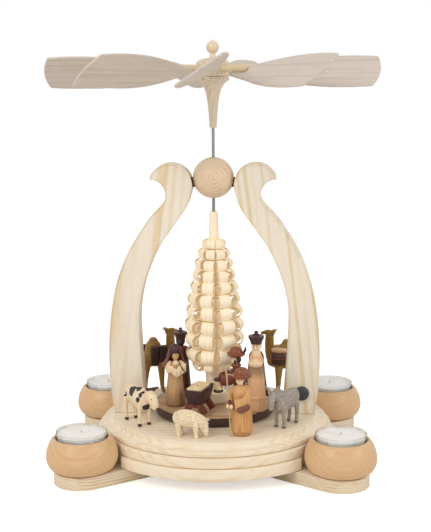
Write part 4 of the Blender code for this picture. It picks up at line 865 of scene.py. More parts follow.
# The ends are drawn together in the thickness, which closes each shaving.
ends = ribbons[:, [0, -1]].copy()
ends[..., :4, :] = (ribbons[:, [0, -1]][..., :4, :] + ribbons[:, [0, -1]][..., [5, 4, 3, 3], :]) / 2
ends[..., [4, 5, 6], :] = ends[..., [1, 0, 0], :]
ribbons = np.concatenate([ends[:, :1], ribbons, ends[:, 1:]], axis=1)
lays = np.concatenate([lays[:, :1], lays, lays[:, -1:]], axis=1)
shavings = surface("shaved_tree_curls", *ribbons, coiled=list(lays))
fitted(shavings, fresh_linden, "tree", "rotor", "shaved_tree")
round_core = surface("shaved_tree_core", core, grain=(2, 0, 1), pith=(0, 0.012, 0.004))
fitted(round_core, fresh_linden, "tree", "rotor", "shaved_tree")


# Hub. A slender turned funnel pressed on the shaft, with a grooved disc on top, and over it the
# turned head that holds nine stems and the finial. Turned maple, smoked a little: khaki beige.
smoked_maple = wood(
    "smoked maple of the hub", "#ded0bb", "#ccb99f", ring=2.4, waver=1.5, streak=0.08, gloss=0.42,
    relief=0.12,
)
FUNNEL_SOCKET = 0.0085
SPIGOT_RADIUS = 0.0035
SPIGOT_HEIGHT = 0.0035
HUB_DISC_RADIUS = 0.0134
HUB_DISC_THICKNESS = 0.0025
low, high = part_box("hub_funnel")
disc_top = high.z - SPIGOT_HEIGHT
disc_low = disc_top - HUB_DISC_THICKNESS
length = disc_low - low.z
flare = smooth([
    (0.0029, 0), (0.0036, length * 0.30), (0.0047, length * 0.58), (0.0066, length * 0.80),
    (0.0098, length * 0.94), (0.0130, length),
])
flare[:, 1] += low.z
profile = np.vstack([
    [(0, high.z - FUNNEL_SOCKET), (SHAFT_BORE, high.z - FUNNEL_SOCKET), (SHAFT_BORE, low.z)], flare[:-1],
    eased([
        (HUB_DISC_RADIUS - 0.0006, disc_low), (HUB_DISC_RADIUS, disc_low),
        (HUB_DISC_RADIUS, disc_low + 0.0009),
        (HUB_DISC_RADIUS - 0.0007, disc_low + 0.0012), (HUB_DISC_RADIUS, disc_low + 0.0015),
        (HUB_DISC_RADIUS, disc_top), (SPIGOT_RADIUS, disc_top), (SPIGOT_RADIUS, high.z), (0, high.z),
    ], 0.0003),
])
fitted(
    surface("turned_funnel", revolved(profile), grain=(2, 0, 1), pith=(0, 0.012, 0.006)),
    smoked_maple, "hub", "rotor", "hub_funnel",
)
low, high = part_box("hub_head")
radius = high.x
tall = high.z - low.z
cheek = smooth([
    (radius * 0.88, 0), (radius * 0.985, tall * 0.10), (radius, tall * 0.30), (radius, tall * 0.60),
    (radius * 0.90, tall * 0.80), (radius * 0.62, tall * 0.94), (radius * 0.26, tall),
])
cheek[:, 1] += low.z
profile = np.vstack([[(0, low.z)], cheek, [(0, high.z)]])
fitted(
    surface("turned_head", revolved(profile), grain=(2, 0, 1), pith=(0, 0.012, 0.006)),
    smoked_maple, "hub", "rotor", "hub_head",
)
# Turned beech of the finial, left a little pinker and paler than the ball; part of its paleness is a
# painted highlight.
finial_beech = wood(
    "turned beech of the finial", "#ead8bd", "#dfc8a8", ring=2.4, streak=0.06, gloss=0.36, relief=0.1,
)
FINIAL_HEIGHT = 0.0145
KNOB_RADIUS = 0.0052
KNOB_HEIGHT = 0.0084
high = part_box("finial")[1]
neck = high.z - FINIAL_HEIGHT
knob = arc((0, neck + KNOB_HEIGHT), KNOB_RADIUS, -62, 68, 33)
profile = np.vstack([
    [(0, neck), (0.0030, neck), (0.0025, neck + 0.0012), (0.0023, neck + 0.0026)], knob,
    [(0.0013, high.z - 0.0008), (0.0006, high.z - 0.0001), (0, high.z)],
])
fitted(
    surface("turned_finial", revolved(profile, 64), grain=(2, 0, 1), pith=(0, 0.006, 0.002)),
    finial_beech, "finial", "rotor", "finial",
)


# Impeller blades. Nine thin lancet boards of maple, each lapped and glued under a round stem, whose
# tenon sits in the hub's head and can be turned there to set the pitch.
STEM_HEIGHT = 0.3260
BLADES = 9
BLADE_PITCH = 33.0
BLADE_FIRST = -92.2
BLADE_ROOT = 0.0205
BLADE_CORNER = 0.1323
BLADE_TIP = 0.1362
BLADE_HALF_CHORD = 0.0205
BLADE_THICKNESS = 0.0018
BLADE_DROP = 0.0025
STEM_RADIUS = 0.0031
STEM_END = 0.045
TENON_RADIUS = 0.0021
TENON_START = 0.0088
TENON_END = 0.0148


def lancet(root, corner, tip, half_chord, thickness, drop, ease=0.0005, rows=41, columns=17):
    """A lancet board: its half chord swells from the root like the first 0.62 of a half sine wave,
    and its length falls off from the middle of the tip to the corners as a square does.

    Each row is a flat loop round the board, the last ones drawn in to the edge of the tip.
    """
    share = np.append(np.linspace(0, 1, rows) ** 1.15, [1, 1])
    half = half_chord * 1.09 * np.sin(math.pi * 0.62 * share)
    deep = thickness / 2 * np.append(np.ones(rows), [0.55, 0])
    inset = np.minimum(ease / np.maximum(half, 1e-9), 0.5)
    v = np.linspace(-1, 1, columns) * (1 - inset[:, None])
    edge = np.ones((len(share), 1))
    across = np.concatenate([v, edge, edge, -v, -edge, -edge, v[:, :1]], axis=1)
    high = np.concatenate([np.ones(columns), [0.4, -0.4], -np.ones(columns), [-0.4, 0.4], [1]])
    x = root + share[:, None] * (corner - root + (tip - corner) * (1 - across ** 2))
    x[rows - 1] -= ease * 0.6
    return np.stack([x, half[:, None] * across, deep[:, None] * high - drop - thickness / 2], axis=-1)


# Smoked maple board: greyish taupe with fine lines along the blade and paler eased edges.
blade_maple = wood(
    "smoked maple of the blades", "#d6cbc1", "#c9beb2", ring=2.6, waver=1.8, streak=0.10, pore=0.35,
    fleck="#9c8b79", gloss=0.5, relief=0.3,
)
# Turned maple of the stems: plain beige and silky.
stem_maple = wood(
    "turned maple of the stems", "#ddccad", "#c9b48f", ring=1.8, streak=0.08, gloss=0.45, relief=0.12,
)
blade = lancet(BLADE_ROOT, BLADE_CORNER, BLADE_TIP, BLADE_HALF_CHORD, BLADE_THICKNESS, BLADE_DROP)
profile = eased([
    (0, TENON_START), (TENON_RADIUS, TENON_START), (TENON_RADIUS, TENON_END), (STEM_RADIUS, TENON_END),
    (STEM_RADIUS, STEM_END - 0.0016), (STEM_RADIUS - 0.0018, STEM_END), (0, STEM_END),
], 0.0006)
stem = revolved(profile, 32)[..., [2, 1, 0]]
for index in range(BLADES):
    turn = (
        Matrix.Translation((0, 0, STEM_HEIGHT))
        @ Matrix.Rotation(math.radians(BLADE_FIRST + 360 / BLADES * index), 4, "Z")
        @ Matrix.Rotation(math.radians(BLADE_PITCH), 4, "X")
    )
    body = f"blade_{index + 1}"
    far = (0.3 * index, 0.004 * (index % 4 - 1.5), -0.03 - 0.004 * (index % 3))
    fitted(surface(f"lancet_{index + 1}", blade, place=turn, pith=far), blade_maple, "blade", body, body)
    fitted(surface(f"stem_{index + 1}", stem, place=turn, pith=far), stem_maple, "blade", body, body)


# Turned figures. Small people of turned and carved woods stand on the turntable, the shepherd on the
# stage: robe, head and hat are turned, sleeves and what they carry are carved and glued on.
WOMAN_HEIGHT = 0.0531
LEFT_KING_HEIGHT = 0.0625
RIGHT_KING_HEIGHT = 0.068
GIFT_BEARER_HEIGHT = 0.0522
SHEPHERD_HEIGHT = 0.056
FLUTE_DEPTH = 0.016


def tube(stations, sides=20, steps=6):
    """A closed round form along a path, from (x, y, z, half width, half depth) stations.

    A smooth curve runs through the stations. Square to its run lies an ellipse, with its width
    across and its depth in the upright plane ahead, or with its width ahead where the path runs
    straight across. Half a ball closes each end.
    """
    line = smooth(stations, steps)
    run = np.gradient(line[:, :3], axis=0)
    run /= np.linalg.norm(run, axis=1)[:, None]
    swell = np.radians([90, 65, 40, 20])
    for end, way in ((0, -1), (-1, 1)):
        cap = np.repeat(line[[end]], 4, axis=0)
        cap[:, :3] += way * run[end] * (line[end, 3:].min() * np.sin(swell))[:, None]
        cap[:, 3:] *= np.cos(swell)[:, None]
        turned = np.repeat(run[[end]], 4, axis=0)
        line = np.vstack([cap, line] if end == 0 else [line, cap[::-1]])
        run = np.vstack([turned, run] if end == 0 else [run, turned])
    deep = np.cross(run, (0, 1, 0) if np.abs(run[:, 1]).max() < 0.9 else (1, 0, 0))
    deep /= np.linalg.norm(deep, axis=1)[:, None]
    wide = np.cross(deep, run)
    angle = np.linspace(0, math.tau, sides + 1)
    spread = (line[:, 3:4] * np.cos(angle))[..., None] * wide[:, None]
    rise = (line[:, 4:5] * np.sin(angle))[..., None] * deep[:, None]
    return line[:, None, :3] + spread + rise


def blob(middle, halves, sides=20):
    """An egg shape: a ball about a middle, stretched to its half sizes along X, Y and Z."""
    up = np.radians(np.linspace(-90, 90, sides // 2 + 1))
    ball = revolved(np.stack([np.cos(up), np.sin(up)], axis=-1), sides)
    return ball * halves + middle


def pairs(stations, sides=20):
    """Two mirrored tubes, one on each side of a figure or animal."""
    mirrored = np.array(stations) * (1, -1, 1, 1, 1)
    return [tube(stations, sides), tube(mirrored, sides)]


class Figure:
    """One turned figure: where it stands, and how its parts, given in shares of its height, are made."""

    def __init__(self, node, body, height, distance, bearing, heading):
        self.node, self.body, self.height = node, body, height
        self.place = stood(distance, bearing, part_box(node)[0].z, heading)

    def part(self, name, material, *forms):
        """Set down one part, made of closed forms in shares of the figure's height."""
        grids = [form * self.height for form in forms]
        piece = surface(
            f"{self.node}_{name}", *grids, place=self.place, grain=(2, 0, 1), pith=(0, 0.011, 0.006),
        )
        fitted(piece, material, self.node, self.body, self.node)

    def turned(self, name, material, profile, middle=(0, 0, 0), sides=48, flutes=0):
        """Set down a part turned from a smooth (radius, height) profile that ends on its axis. Flutes
        are shallow waves carved round it, which fade out toward its top."""
        line = smooth(profile, 6)
        line[:, 0] = np.maximum(line[:, 0], 0)
        closed = np.vstack([[(0, line[0, 1])], line, [(0, line[-1, 1])]])
        grid = revolved(closed, max(sides, flutes * 8))
        if flutes:
            wave = np.cos(flutes * np.linspace(0, math.tau, grid.shape[1]))
            fading = FLUTE_DEPTH * (1 - closed[:, 1:] / line[-1, 1])
            grid[..., :2] *= 1 + (fading * wave)[..., None]
        self.part(name, material, grid + middle)


def darkened(height, *stops):
    """Paint for a robe: its colour is scaled by a grey level at shares of the given height. It makes a robe
    darker towards its foot, and where it darkens a robe just below arms, sleeves or a bag, that is painted
    shade.
    """
    def paint(tree, timber, colour):
        place = add(tree, "SeparateXYZ", links={0: (timber, "Vector")})
        share = add(tree, "Math", {"operation": "DIVIDE", 1: height}, {0: (place, "X")})
        levels = tuple((at, (level, level, level, 1)) for at, level in stops)
        fade = add(tree, "ValToRGB", {"stops": levels}, {"Fac": (share, "Value")})
        return add(tree, "VectorMath", {"operation": "MULTIPLY"}, {0: colour, 1: (fade, "Color")}), "Vector"
    return paint


# Natural and stained woods of the figures, all turned smooth and silky: pale maple for skin and
# cloth, pear and cherry for robes, padauk red-brown and smoked walnut for cloaks, hair and hats.
pale_maple = wood("pale maple of faces", "#efd3ae", "#e6c59b", ring=2.0, streak=0.05, gloss=0.5, relief=0.1)
cloth_maple = wood("maple of the cloth", "#f3dcbb", "#e9cba2", ring=1.6, streak=0.12, gloss=0.6, relief=0.4)
tan_maple = wood(
    "tan maple of the face", "#d3a877", "#c5955f", ring=2.0, streak=0.05, gloss=0.5, relief=0.1,
)
brown_pear = wood(
    "flamed pear of the dress", "#cfa67c", "#a87b52", ring=1.9, waver=1.2, streak=0.24, gloss=0.5,
    paint=darkened(WOMAN_HEIGHT, (0.0, 0.55), (0.10, 0.72), (0.24, 0.95), (0.4, 1.0)),
)
# The right king's robe: darker towards the foot, with painted shade in a dark zone just below the forearms.
peach_cherry = wood(
    "peach cherry of the robe", "#e6b88d", "#d8a577", ring=2.6, streak=0.08, gloss=0.45,
    paint=darkened(
        RIGHT_KING_HEIGHT, (0.0, 0.86), (0.05, 1.0), (0.40, 1.0), (0.49, 0.5), (0.60, 0.45), (0.64, 0.95),
    ),
)
# The shepherd's robe: darker towards the foot, with painted shade in a dark zone below sleeves, hands and
# bag.
ochre_cherry = wood(
    "flamed cherry of the shepherd", "#d3a068", "#bf8850", ring=2.4, streak=0.08, gloss=0.45,
    paint=darkened(SHEPHERD_HEIGHT, (0.0, 0.7), (0.06, 1.0), (0.34, 1.0), (0.44, 0.72)),
)
tan_cherry = wood("light cherry of the coat", "#d9a872", "#c9935c", ring=2.2, streak=0.12, gloss=0.48)
red_padauk = wood("dark padauk of cloaks", "#7a3d2c", "#592a20", ring=1.8, streak=0.2, gloss=0.42)
plum_padauk = wood("plum brown padauk of the veil", "#84503f", "#6a3b30", ring=1.7, streak=0.2, gloss=0.45)
hat_padauk = wood("stained hats", "#8f5233", "#6e3d25", ring=1.6, streak=0.2, gloss=0.36)
dark_walnut = wood("dark walnut of hair", "#43282a", "#2e1b1c", ring=1.6, streak=0.18, gloss=0.38)
pink_plum = wood("plum wood of the gift", "#e2bf9d", "#d3a985", ring=2.2, streak=0.08, gloss=0.5)
black_paint = wood("black painted dots", "#241b1a", "#1c1514", ring=1.0, streak=0.1, gloss=0.4)

BOWL_HAT = (
    (0.062, 0.0), (0.100, 0.004), (0.132, 0.016), (0.143, 0.040), (0.139, 0.058), (0.122, 0.062),
    (0.108, 0.064), (0.100, 0.092), (0.082, 0.126), (0.045, 0.150), (0.004, 0.156),
)
KING_HAT = (
    (0.058, 0.0), (0.068, 0.004), (0.071, 0.022), (0.075, 0.038), (0.081, 0.043), (0.079, 0.050),
    (0.088, 0.060), (0.095, 0.080), (0.096, 0.096), (0.090, 0.102), (0.070, 0.103), (0.050, 0.112),
    (0.034, 0.122), (0.024, 0.130), (0.019, 0.137), (0.025, 0.146), (0.021, 0.157), (0.003, 0.162),
)


def twins(middle, across, halves, sides=10):
    """Two egg shapes, as far across to each side of a middle."""
    forward, between, up = middle
    return [blob((forward, between + side * across, up), halves, sides) for side in (-1, 1)]


def eyes(forward, across, up, size):
    """Two small round eyes on a face that looks along +X."""
    return twins((forward, 0, up), across, (size * 0.5, size, size * 1.1))


def cape(profile, thickness, half_gap, lean):
    """A flared cape, open in front: a (radius, height) profile is swept round from one edge of the
    gap to the other, out along its outer line and back a thickness inside. Its waist leans back."""
    outer = smooth(profile, 5)
    loop = np.vstack([outer, (outer - (thickness, 0))[::-1], outer[:1]])
    angle = np.radians(np.linspace(half_gap, 360 - half_gap, 41))[:, None]
    middle = (loop[:, 1].max() - loop[:, 1]) * lean
    grid = np.stack([
        loop[:, 0] * np.cos(angle) - middle, loop[:, 0] * np.sin(angle), loop[:, 1] + 0 * angle,
    ], axis=-1)
    half = len(outer)
    seam = (grid + grid[:, np.r_[2 * half - 1 - np.arange(2 * half), 2 * half - 1]]) / 2
    return np.concatenate([seam[:1], grid, seam[-1:]])


# The woman wears a pear dress, darker towards the foot, and a veil, and holds a pale cloth before her with
# both hands.
woman = Figure("woman", "rotor", WOMAN_HEIGHT, 0.0354, -158.7, -75.0)
woman.turned("dress", brown_pear, (
    (0.142, 0.0), (0.155, 0.012), (0.158, 0.05), (0.150, 0.16), (0.134, 0.30), (0.121, 0.42), (0.114, 0.50),
    (0.112, 0.60), (0.098, 0.66), (0.060, 0.70), (0.030, 0.72),
))
woman.part(
    "face", tan_maple, blob((0.050, 0, 0.815), (0.050, 0.056, 0.066)),
    blob((0.040, 0, 0.755), (0.032, 0.030, 0.04)),
)
woman.part("chest", pale_maple, blob((0.060, 0, 0.690), (0.060, 0.050, 0.050)))
woman.part("eyes", black_paint, *eyes(0.097, 0.020, 0.822, 0.006))
woman.part(
    "hair", dark_walnut, blob((0.006, 0, 0.900), (0.088, 0.088, 0.100)),
    *pairs([
        (0.070, 0.052, 0.905, 0.022, 0.022), (0.068, 0.066, 0.855, 0.018, 0.020),
        (0.055, 0.070, 0.815, 0.012, 0.014),
    ], 14),
    tube([
        (0.082, 0, 0.900, 0.026, 0.018), (0.096, 0, 0.868, 0.014, 0.010), (0.101, 0, 0.848, 0.005, 0.004),
    ], 14),
)
woman.part("veil", plum_padauk, cape(
    (
        (0.088, 0.93), (0.100, 0.88), (0.112, 0.82), (0.140, 0.75), (0.178, 0.69), (0.206, 0.655),
        (0.203, 0.635), (0.170, 0.61),
    ),
    0.016, 62, 0.10,
))
woman.part("sleeves", cloth_maple, *pairs([
    (0.0, 0.084, 0.69, 0.034, 0.044), (0.045, 0.122, 0.65, 0.034, 0.060),
    (0.095, 0.134, 0.60, 0.030, 0.056), (0.135, 0.112, 0.585, 0.022, 0.036),
]))
u, v = np.meshgrid(np.linspace(-0.15, 0.155, 31), np.linspace(0, 1, 13))
over = np.interp(u, (-0.15, -0.08, -0.012, 0.05, 0.155), (0.700, 0.675, 0.620, 0.680, 0.700))
under = np.interp(u, (-0.15, -0.11, -0.012, 0.09, 0.155), (0.650, 0.580, 0.480, 0.540, 0.560))
hang = np.stack([
    0.168 - 1.4 * u ** 2 + 0.006 * np.cos(u * 90 + v * 3) + 0.012 * np.sin(v * math.pi), u,
    over + (under - over) * v,
], axis=-1)
back = hang - (0.014, 0, 0)
woman.part(
    "cloth", cloth_maple, np.concatenate([back[:1], hang, back[::-1]]),
    *(np.stack([hang[:, at], back[:, at]]) for at in (0, -1)),
)
# A thin dark walnut strip beside the cloth is painted shadow: it stands for the shade in the gap between
# the cloth and the sleeve next to it.
woman.part("shadow_strip", dark_walnut, tube([
    (0.176, 0.052, 0.688, 0.006, 0.006), (0.172, 0.090, 0.625, 0.009, 0.008),
    (0.150, 0.130, 0.560, 0.006, 0.006),
], 12))

# The left one in a tall hat wears a red brown robe under a dark cape and holds up a lidded vessel.
left_king = Figure("left_king", "rotor", LEFT_KING_HEIGHT, 0.034, 152.7, -95.0)
left_king.turned("robe", red_padauk, (
    (0.100, 0.0), (0.112, 0.02), (0.114, 0.12), (0.106, 0.32), (0.092, 0.52), (0.080, 0.60), (0.070, 0.66),
    (0.040, 0.71), (0.03, 0.72),
))
left_king.part("face", dark_walnut, blob((0.004, 0, 0.78), (0.062, 0.066, 0.075)))
left_king.part("beard", dark_walnut, blob((0.034, 0, 0.765), (0.040, 0.044, 0.050)))
left_king.part("eyes", black_paint, *eyes(0.066, 0.019, 0.79, 0.006))
left_king.turned("hat", dark_walnut, KING_HAT, (0, 0, 0.806))
left_king.part("sleeves", red_padauk, *pairs([
    (0.0, 0.070, 0.675, 0.036, 0.038), (0.03, 0.115, 0.625, 0.042, 0.050),
    (0.055, 0.150, 0.585, 0.036, 0.060), (0.065, 0.165, 0.570, 0.026, 0.050),
]))
left_king.part("cape", dark_walnut, cape(
    ((0.072, 0.70), (0.096, 0.62), (0.110, 0.50), (0.122, 0.34), (0.134, 0.16), (0.130, 0.12)), 0.018, 50,
    0.02,
))
left_king.part("hands", dark_walnut, *twins((0.085, 0, 0.600), 0.168, (0.026, 0.022, 0.022), 14))
left_king.turned("vessel", dark_walnut, (
    (0.020, 0.0), (0.034, 0.006), (0.016, 0.026), (0.018, 0.040), (0.046, 0.066), (0.052, 0.092),
    (0.040, 0.122), (0.020, 0.134), (0.014, 0.146), (0.016, 0.156), (0.003, 0.162),
), (0.085, 0.172, 0.615))

# The right one in a tall hat is the palest: a cherry robe with painted shade just below the bare forearms
# before the chest.
right_king = Figure("right_king", "rotor", RIGHT_KING_HEIGHT, 0.0444, -36.4, -97.0)
right_king.turned("robe", peach_cherry, (
    (0.112, 0.0), (0.121, 0.008), (0.123, 0.05), (0.120, 0.150), (0.127, 0.163), (0.127, 0.180),
    (0.119, 0.190), (0.114, 0.26), (0.105, 0.40), (0.094, 0.52), (0.086, 0.59), (0.070, 0.65),
    (0.056, 0.69), (0.040, 0.72), (0.024, 0.73),
))
right_king.turned(
    "collar", pale_maple,
    ((0.030, 0.60), (0.062, 0.64), (0.057, 0.69), (0.052, 0.735), (0.036, 0.76), (0.02, 0.77)),
)
right_king.part(
    "face", pale_maple, blob((0.012, 0, 0.80), (0.056, 0.060, 0.064)),
    blob((0.067, 0, 0.785), (0.012, 0.009, 0.014), 12),
)
right_king.part("hair", dark_walnut, blob((-0.020, 0, 0.812), (0.052, 0.062, 0.070)))
right_king.part(
    "eyes", black_paint, *eyes(0.064, 0.021, 0.805, 0.006),
    *pairs([
        (0.068, 0.010, 0.818, 0.003, 0.003), (0.066, 0.022, 0.823, 0.004, 0.003),
        (0.058, 0.034, 0.828, 0.002, 0.002),
    ], 8),
)
right_king.turned("hat", dark_walnut, KING_HAT, (0, 0, 0.831))
right_king.part("sleeves", peach_cherry, *pairs([
    (-0.005, 0.046, 0.705, 0.020, 0.026), (0.008, 0.060, 0.655, 0.023, 0.030),
    (0.035, 0.066, 0.605, 0.024, 0.034),
]))
right_king.part("shoulders", dark_walnut, *pairs([
    (-0.016, 0.052, 0.722, 0.016, 0.020), (-0.012, 0.074, 0.680, 0.017, 0.024),
    (-0.014, 0.080, 0.63, 0.012, 0.020),
]))
right_king.part("forearms", pale_maple, tube([
    (0.035, -0.068, 0.612, 0.022, 0.026), (0.080, -0.046, 0.600, 0.034, 0.040),
    (0.098, 0, 0.604, 0.038, 0.046), (0.080, 0.046, 0.600, 0.034, 0.040),
    (0.035, 0.068, 0.612, 0.022, 0.026),
], 24), blob((0.096, 0, 0.640), (0.032, 0.044, 0.026)))
right_king.part("cloak", dark_walnut, cape(
    ((0.070, 0.70), (0.094, 0.60), (0.108, 0.46), (0.126, 0.32), (0.146, 0.19), (0.142, 0.17)), 0.016, 84,
    0.04,
))

# The gift bearer bows over the casket, so everything above the coat is set a little forward.
BOW = 0.055
bearer = Figure("gift_bearer", "rotor", GIFT_BEARER_HEIGHT, 0.0322, -47.2, 192.0)
bearer.turned("coat", red_padauk, (
    (0.102, 0.0), (0.114, 0.012), (0.118, 0.08), (0.108, 0.22), (0.094, 0.40), (0.084, 0.52), (0.078, 0.60),
    (0.05, 0.66), (0.026, 0.68),
))
bearer.part("back", red_padauk, tube([
    (0.004, 0, 0.50, 0.088, 0.084), (0.022, 0, 0.60, 0.086, 0.084), (BOW, 0, 0.69, 0.060, 0.060),
    (BOW, 0, 0.73, 0.040, 0.040),
], 32))
bearer.part(
    "face", pale_maple, blob((BOW + 0.012, 0, 0.805), (0.070, 0.070, 0.072)),
    blob((BOW + 0.082, 0, 0.80), (0.013, 0.011, 0.014), 12),
)
bearer.part(
    "beard", dark_walnut, blob((BOW - 0.020, 0.004, 0.815), (0.062, 0.074, 0.068)),
    *twins((BOW + 0.026, 0, 0.790), 0.054, (0.026, 0.022, 0.040), 14),
)
bearer.part("eyes", black_paint, *eyes(BOW + 0.076, 0.026, 0.822, 0.007))
bearer.part("scarf", plum_padauk, blob((BOW, 0, 0.722), (0.080, 0.082, 0.044)))
bearer.turned("hat", hat_padauk, BOWL_HAT, (BOW, 0, 0.868))
bearer.part("feather", dark_walnut, tube([
    (BOW - 0.100, 0.075, 0.93, 0.010, 0.018), (BOW - 0.128, 0.080, 0.975, 0.010, 0.022),
    (BOW - 0.140, 0.082, 1.035, 0.004, 0.006),
], 12))
bearer.part("sleeves", red_padauk, *pairs([
    (0.020, 0.080, 0.640, 0.046, 0.050), (0.100, 0.100, 0.555, 0.050, 0.078),
    (0.190, 0.092, 0.510, 0.048, 0.092), (0.285, 0.068, 0.505, 0.044, 0.094),
]))
bearer.part("hands", pale_maple, *twins((0.325, 0, 0.36), 0.060, (0.034, 0.022, 0.026), 14))
bearer.turned(
    "casket", pink_plum, ((0.050, 0.0), (0.058, 0.004), (0.060, 0.08), (0.058, 0.142), (0.050, 0.146)),
    (0.345, 0, 0.335),
)
bearer.turned(
    "casket_foot", dark_walnut,
    ((0.068, 0.0), (0.076, 0.006), (0.078, 0.022), (0.066, 0.036), (0.050, 0.040)), (0.345, 0, 0.296),
)
bearer.turned(
    "casket_lid", dark_walnut,
    ((0.064, 0.0), (0.072, 0.004), (0.073, 0.026), (0.064, 0.036), (0.030, 0.040)), (0.345, 0, 0.482),
)

# The shepherd in a fluted ochre robe and a round hat stands on the stage and carries a bag.
herder = Figure("shepherd", "stand", SHEPHERD_HEIGHT, 0.0694, -69.3, -128.0)
herder.turned("robe", ochre_cherry, (
    (0.126, 0.0), (0.132, 0.03), (0.136, 0.05), (0.154, 0.065), (0.158, 0.09), (0.154, 0.16), (0.146, 0.28),
    (0.138, 0.40), (0.122, 0.50), (0.104, 0.58),
), flutes=14)
herder.turned("smock", tan_cherry, (
    (0.112, 0.42), (0.132, 0.44), (0.134, 0.50), (0.128, 0.60), (0.112, 0.67), (0.076, 0.715),
    (0.036, 0.73),
))
herder.part(
    "face", pale_maple, blob((0.018, 0, 0.785), (0.070, 0.074, 0.066)),
    blob((0.088, 0, 0.782), (0.013, 0.011, 0.013), 12),
)
herder.part(
    "beard", dark_walnut, blob((-0.022, 0, 0.800), (0.062, 0.078, 0.060)),
    *twins((0.022, 0, 0.772), 0.064, (0.026, 0.020, 0.036), 14),
)
herder.part("eyes", black_paint, *eyes(0.082, 0.026, 0.800, 0.007))
herder.turned("hat", hat_padauk, BOWL_HAT, (0, 0, 0.826))
herder.part("sleeves", tan_cherry, *pairs([
    (0.0, 0.100, 0.655, 0.044, 0.050), (0.045, 0.140, 0.570, 0.048, 0.074),
    (0.120, 0.115, 0.505, 0.046, 0.080), (0.200, 0.052, 0.490, 0.040, 0.078),
]))
herder.part(
    "cuffs", red_padauk,
    *pairs([(0.228, 0.034, 0.490, 0.034, 0.068), (0.240, 0.026, 0.490, 0.032, 0.062)], 16),
)
herder.part("hands", pale_maple, *twins((0.272, 0, 0.470), 0.030, (0.030, 0.026, 0.034), 14))
herder.part("bag", plum_padauk, tube([
    (0.185, 0.095, 0.412, 0.024, 0.044), (0.160, 0.120, 0.418, 0.032, 0.054),
    (0.090, 0.158, 0.436, 0.032, 0.054), (0.062, 0.170, 0.444, 0.024, 0.044),
], 24))

# Shepherd's staff: a peeled hazel twig, greenish grey and thin, with a small crook bent at its top
# and the stub of a side twig below it.
STAFF_RADIUS = 0.00052
peeled_hazel = wood("peeled hazel twig", "#c3b587", "#a89a6c", ring=1.0, streak=0.14, gloss=0.5)
low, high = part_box("shepherd_staff")
base = np.array([high.x - 0.0006, (low.y + high.y) / 2, low.z])
rod = np.array([low.x + 0.0006, base[1], high.z]) - base
bend = [(*(base + rod * share), STAFF_RADIUS, STAFF_RADIUS) for share in (0.0, 0.3, 0.6, 0.86)]
bend += [(*(base + rod * at + aside), thick, thick) for at, aside, thick in (
    (0.96, (-0.0004, 0, 0), 0.0006), (1.0, (0.0010, 0, 0.0002), 0.0006),
    (1.0, (0.0028, 0, -0.0010), 0.0005), (1.0, (0.0030, 0, -0.0030), 0.0004),
)]
twig = [(*(base + rod * 0.88 + aside), thick, thick) for aside, thick in (
    ((0, 0, 0), 0.0004), ((0.0025, 0, 0.0004), 0.0004), ((0.0055, 0, -0.0006), 0.0003),
)]
staff = surface("shepherd_crook", tube(bend, 12), tube(twig, 8), grain=(2, 0, 1))
fitted(staff, peeled_hazel, "staff", "stand", "shepherd_staff")


# Crib. A flared trough of smoked walnut boards on two pairs of splayed padauk legs. In it lies a
# bed of maple with the wrapped child carved on it. It stands on the turntable before the people.
CRIB_LENGTH = 0.0294
CRIB_WIDTH = 0.0162
CRIB_DEPTH = 0.0130
CRIB_WALL = 0.0014
CRIB_FLARE = 0.70
CRIB_DISTANCE = 0.0357
CRIB_BEARING = -108.6
CRIB_HEADING = 72.0
LEG_OUT = 0.31 * CRIB_LENGTH
LEG_FOOT = 0.55 * CRIB_WIDTH
LEG_HALF_WIDTH = 0.0027
LEG_HALF_THICKNESS = 0.0014
low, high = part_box("crib")
place = stood(CRIB_DISTANCE, CRIB_BEARING, low.z, CRIB_HEADING)
tall = high.z - low.z
bottom = tall - CRIB_DEPTH


def trough(profile, length, width, corner=0.0006, sides=6):
    """A four-sided form: rounded rectangles of a share of the length and width at each height."""
    turn = np.linspace(0, math.pi / 2, sides)
    x, y = np.cos(turn) * corner, np.sin(turn) * corner
    quarters = ((1, 1, x, y), (-1, 1, -y, x), (-1, -1, -x, -y), (1, -1, y, -x))
    outline = np.concatenate([
        np.stack([a * (length / 2 - corner) + dx, b * (width / 2 - corner) + dy], axis=-1)
        for a, b, dx, dy in quarters
    ])
    outline = np.vstack([outline, outline[:1]])
    profile = np.asarray(profile, float)
    flat = outline * profile[:, :1, None]
    return np.concatenate([flat, np.broadcast_to(profile[:, 1:, None], flat[..., :1].shape)], axis=-1)


wall_top = 1 - 2 * CRIB_WALL / CRIB_LENGTH
walls = trough([
    (0, bottom), (CRIB_FLARE, bottom), (CRIB_FLARE + 0.01, bottom + 0.0003), (0.99, tall - 0.0003),
    (0.985, tall), (wall_top, tall), (wall_top - 0.01, tall - 0.0004),
    (CRIB_FLARE - 0.1, bottom + CRIB_WALL), (0, bottom + CRIB_WALL),
], CRIB_LENGTH, CRIB_WIDTH)
fitted(
    surface("crib_trough", walls, place=place, pith=(0, 0.01, -0.006)), dark_walnut, "crib", "rotor",
    "crib",
)
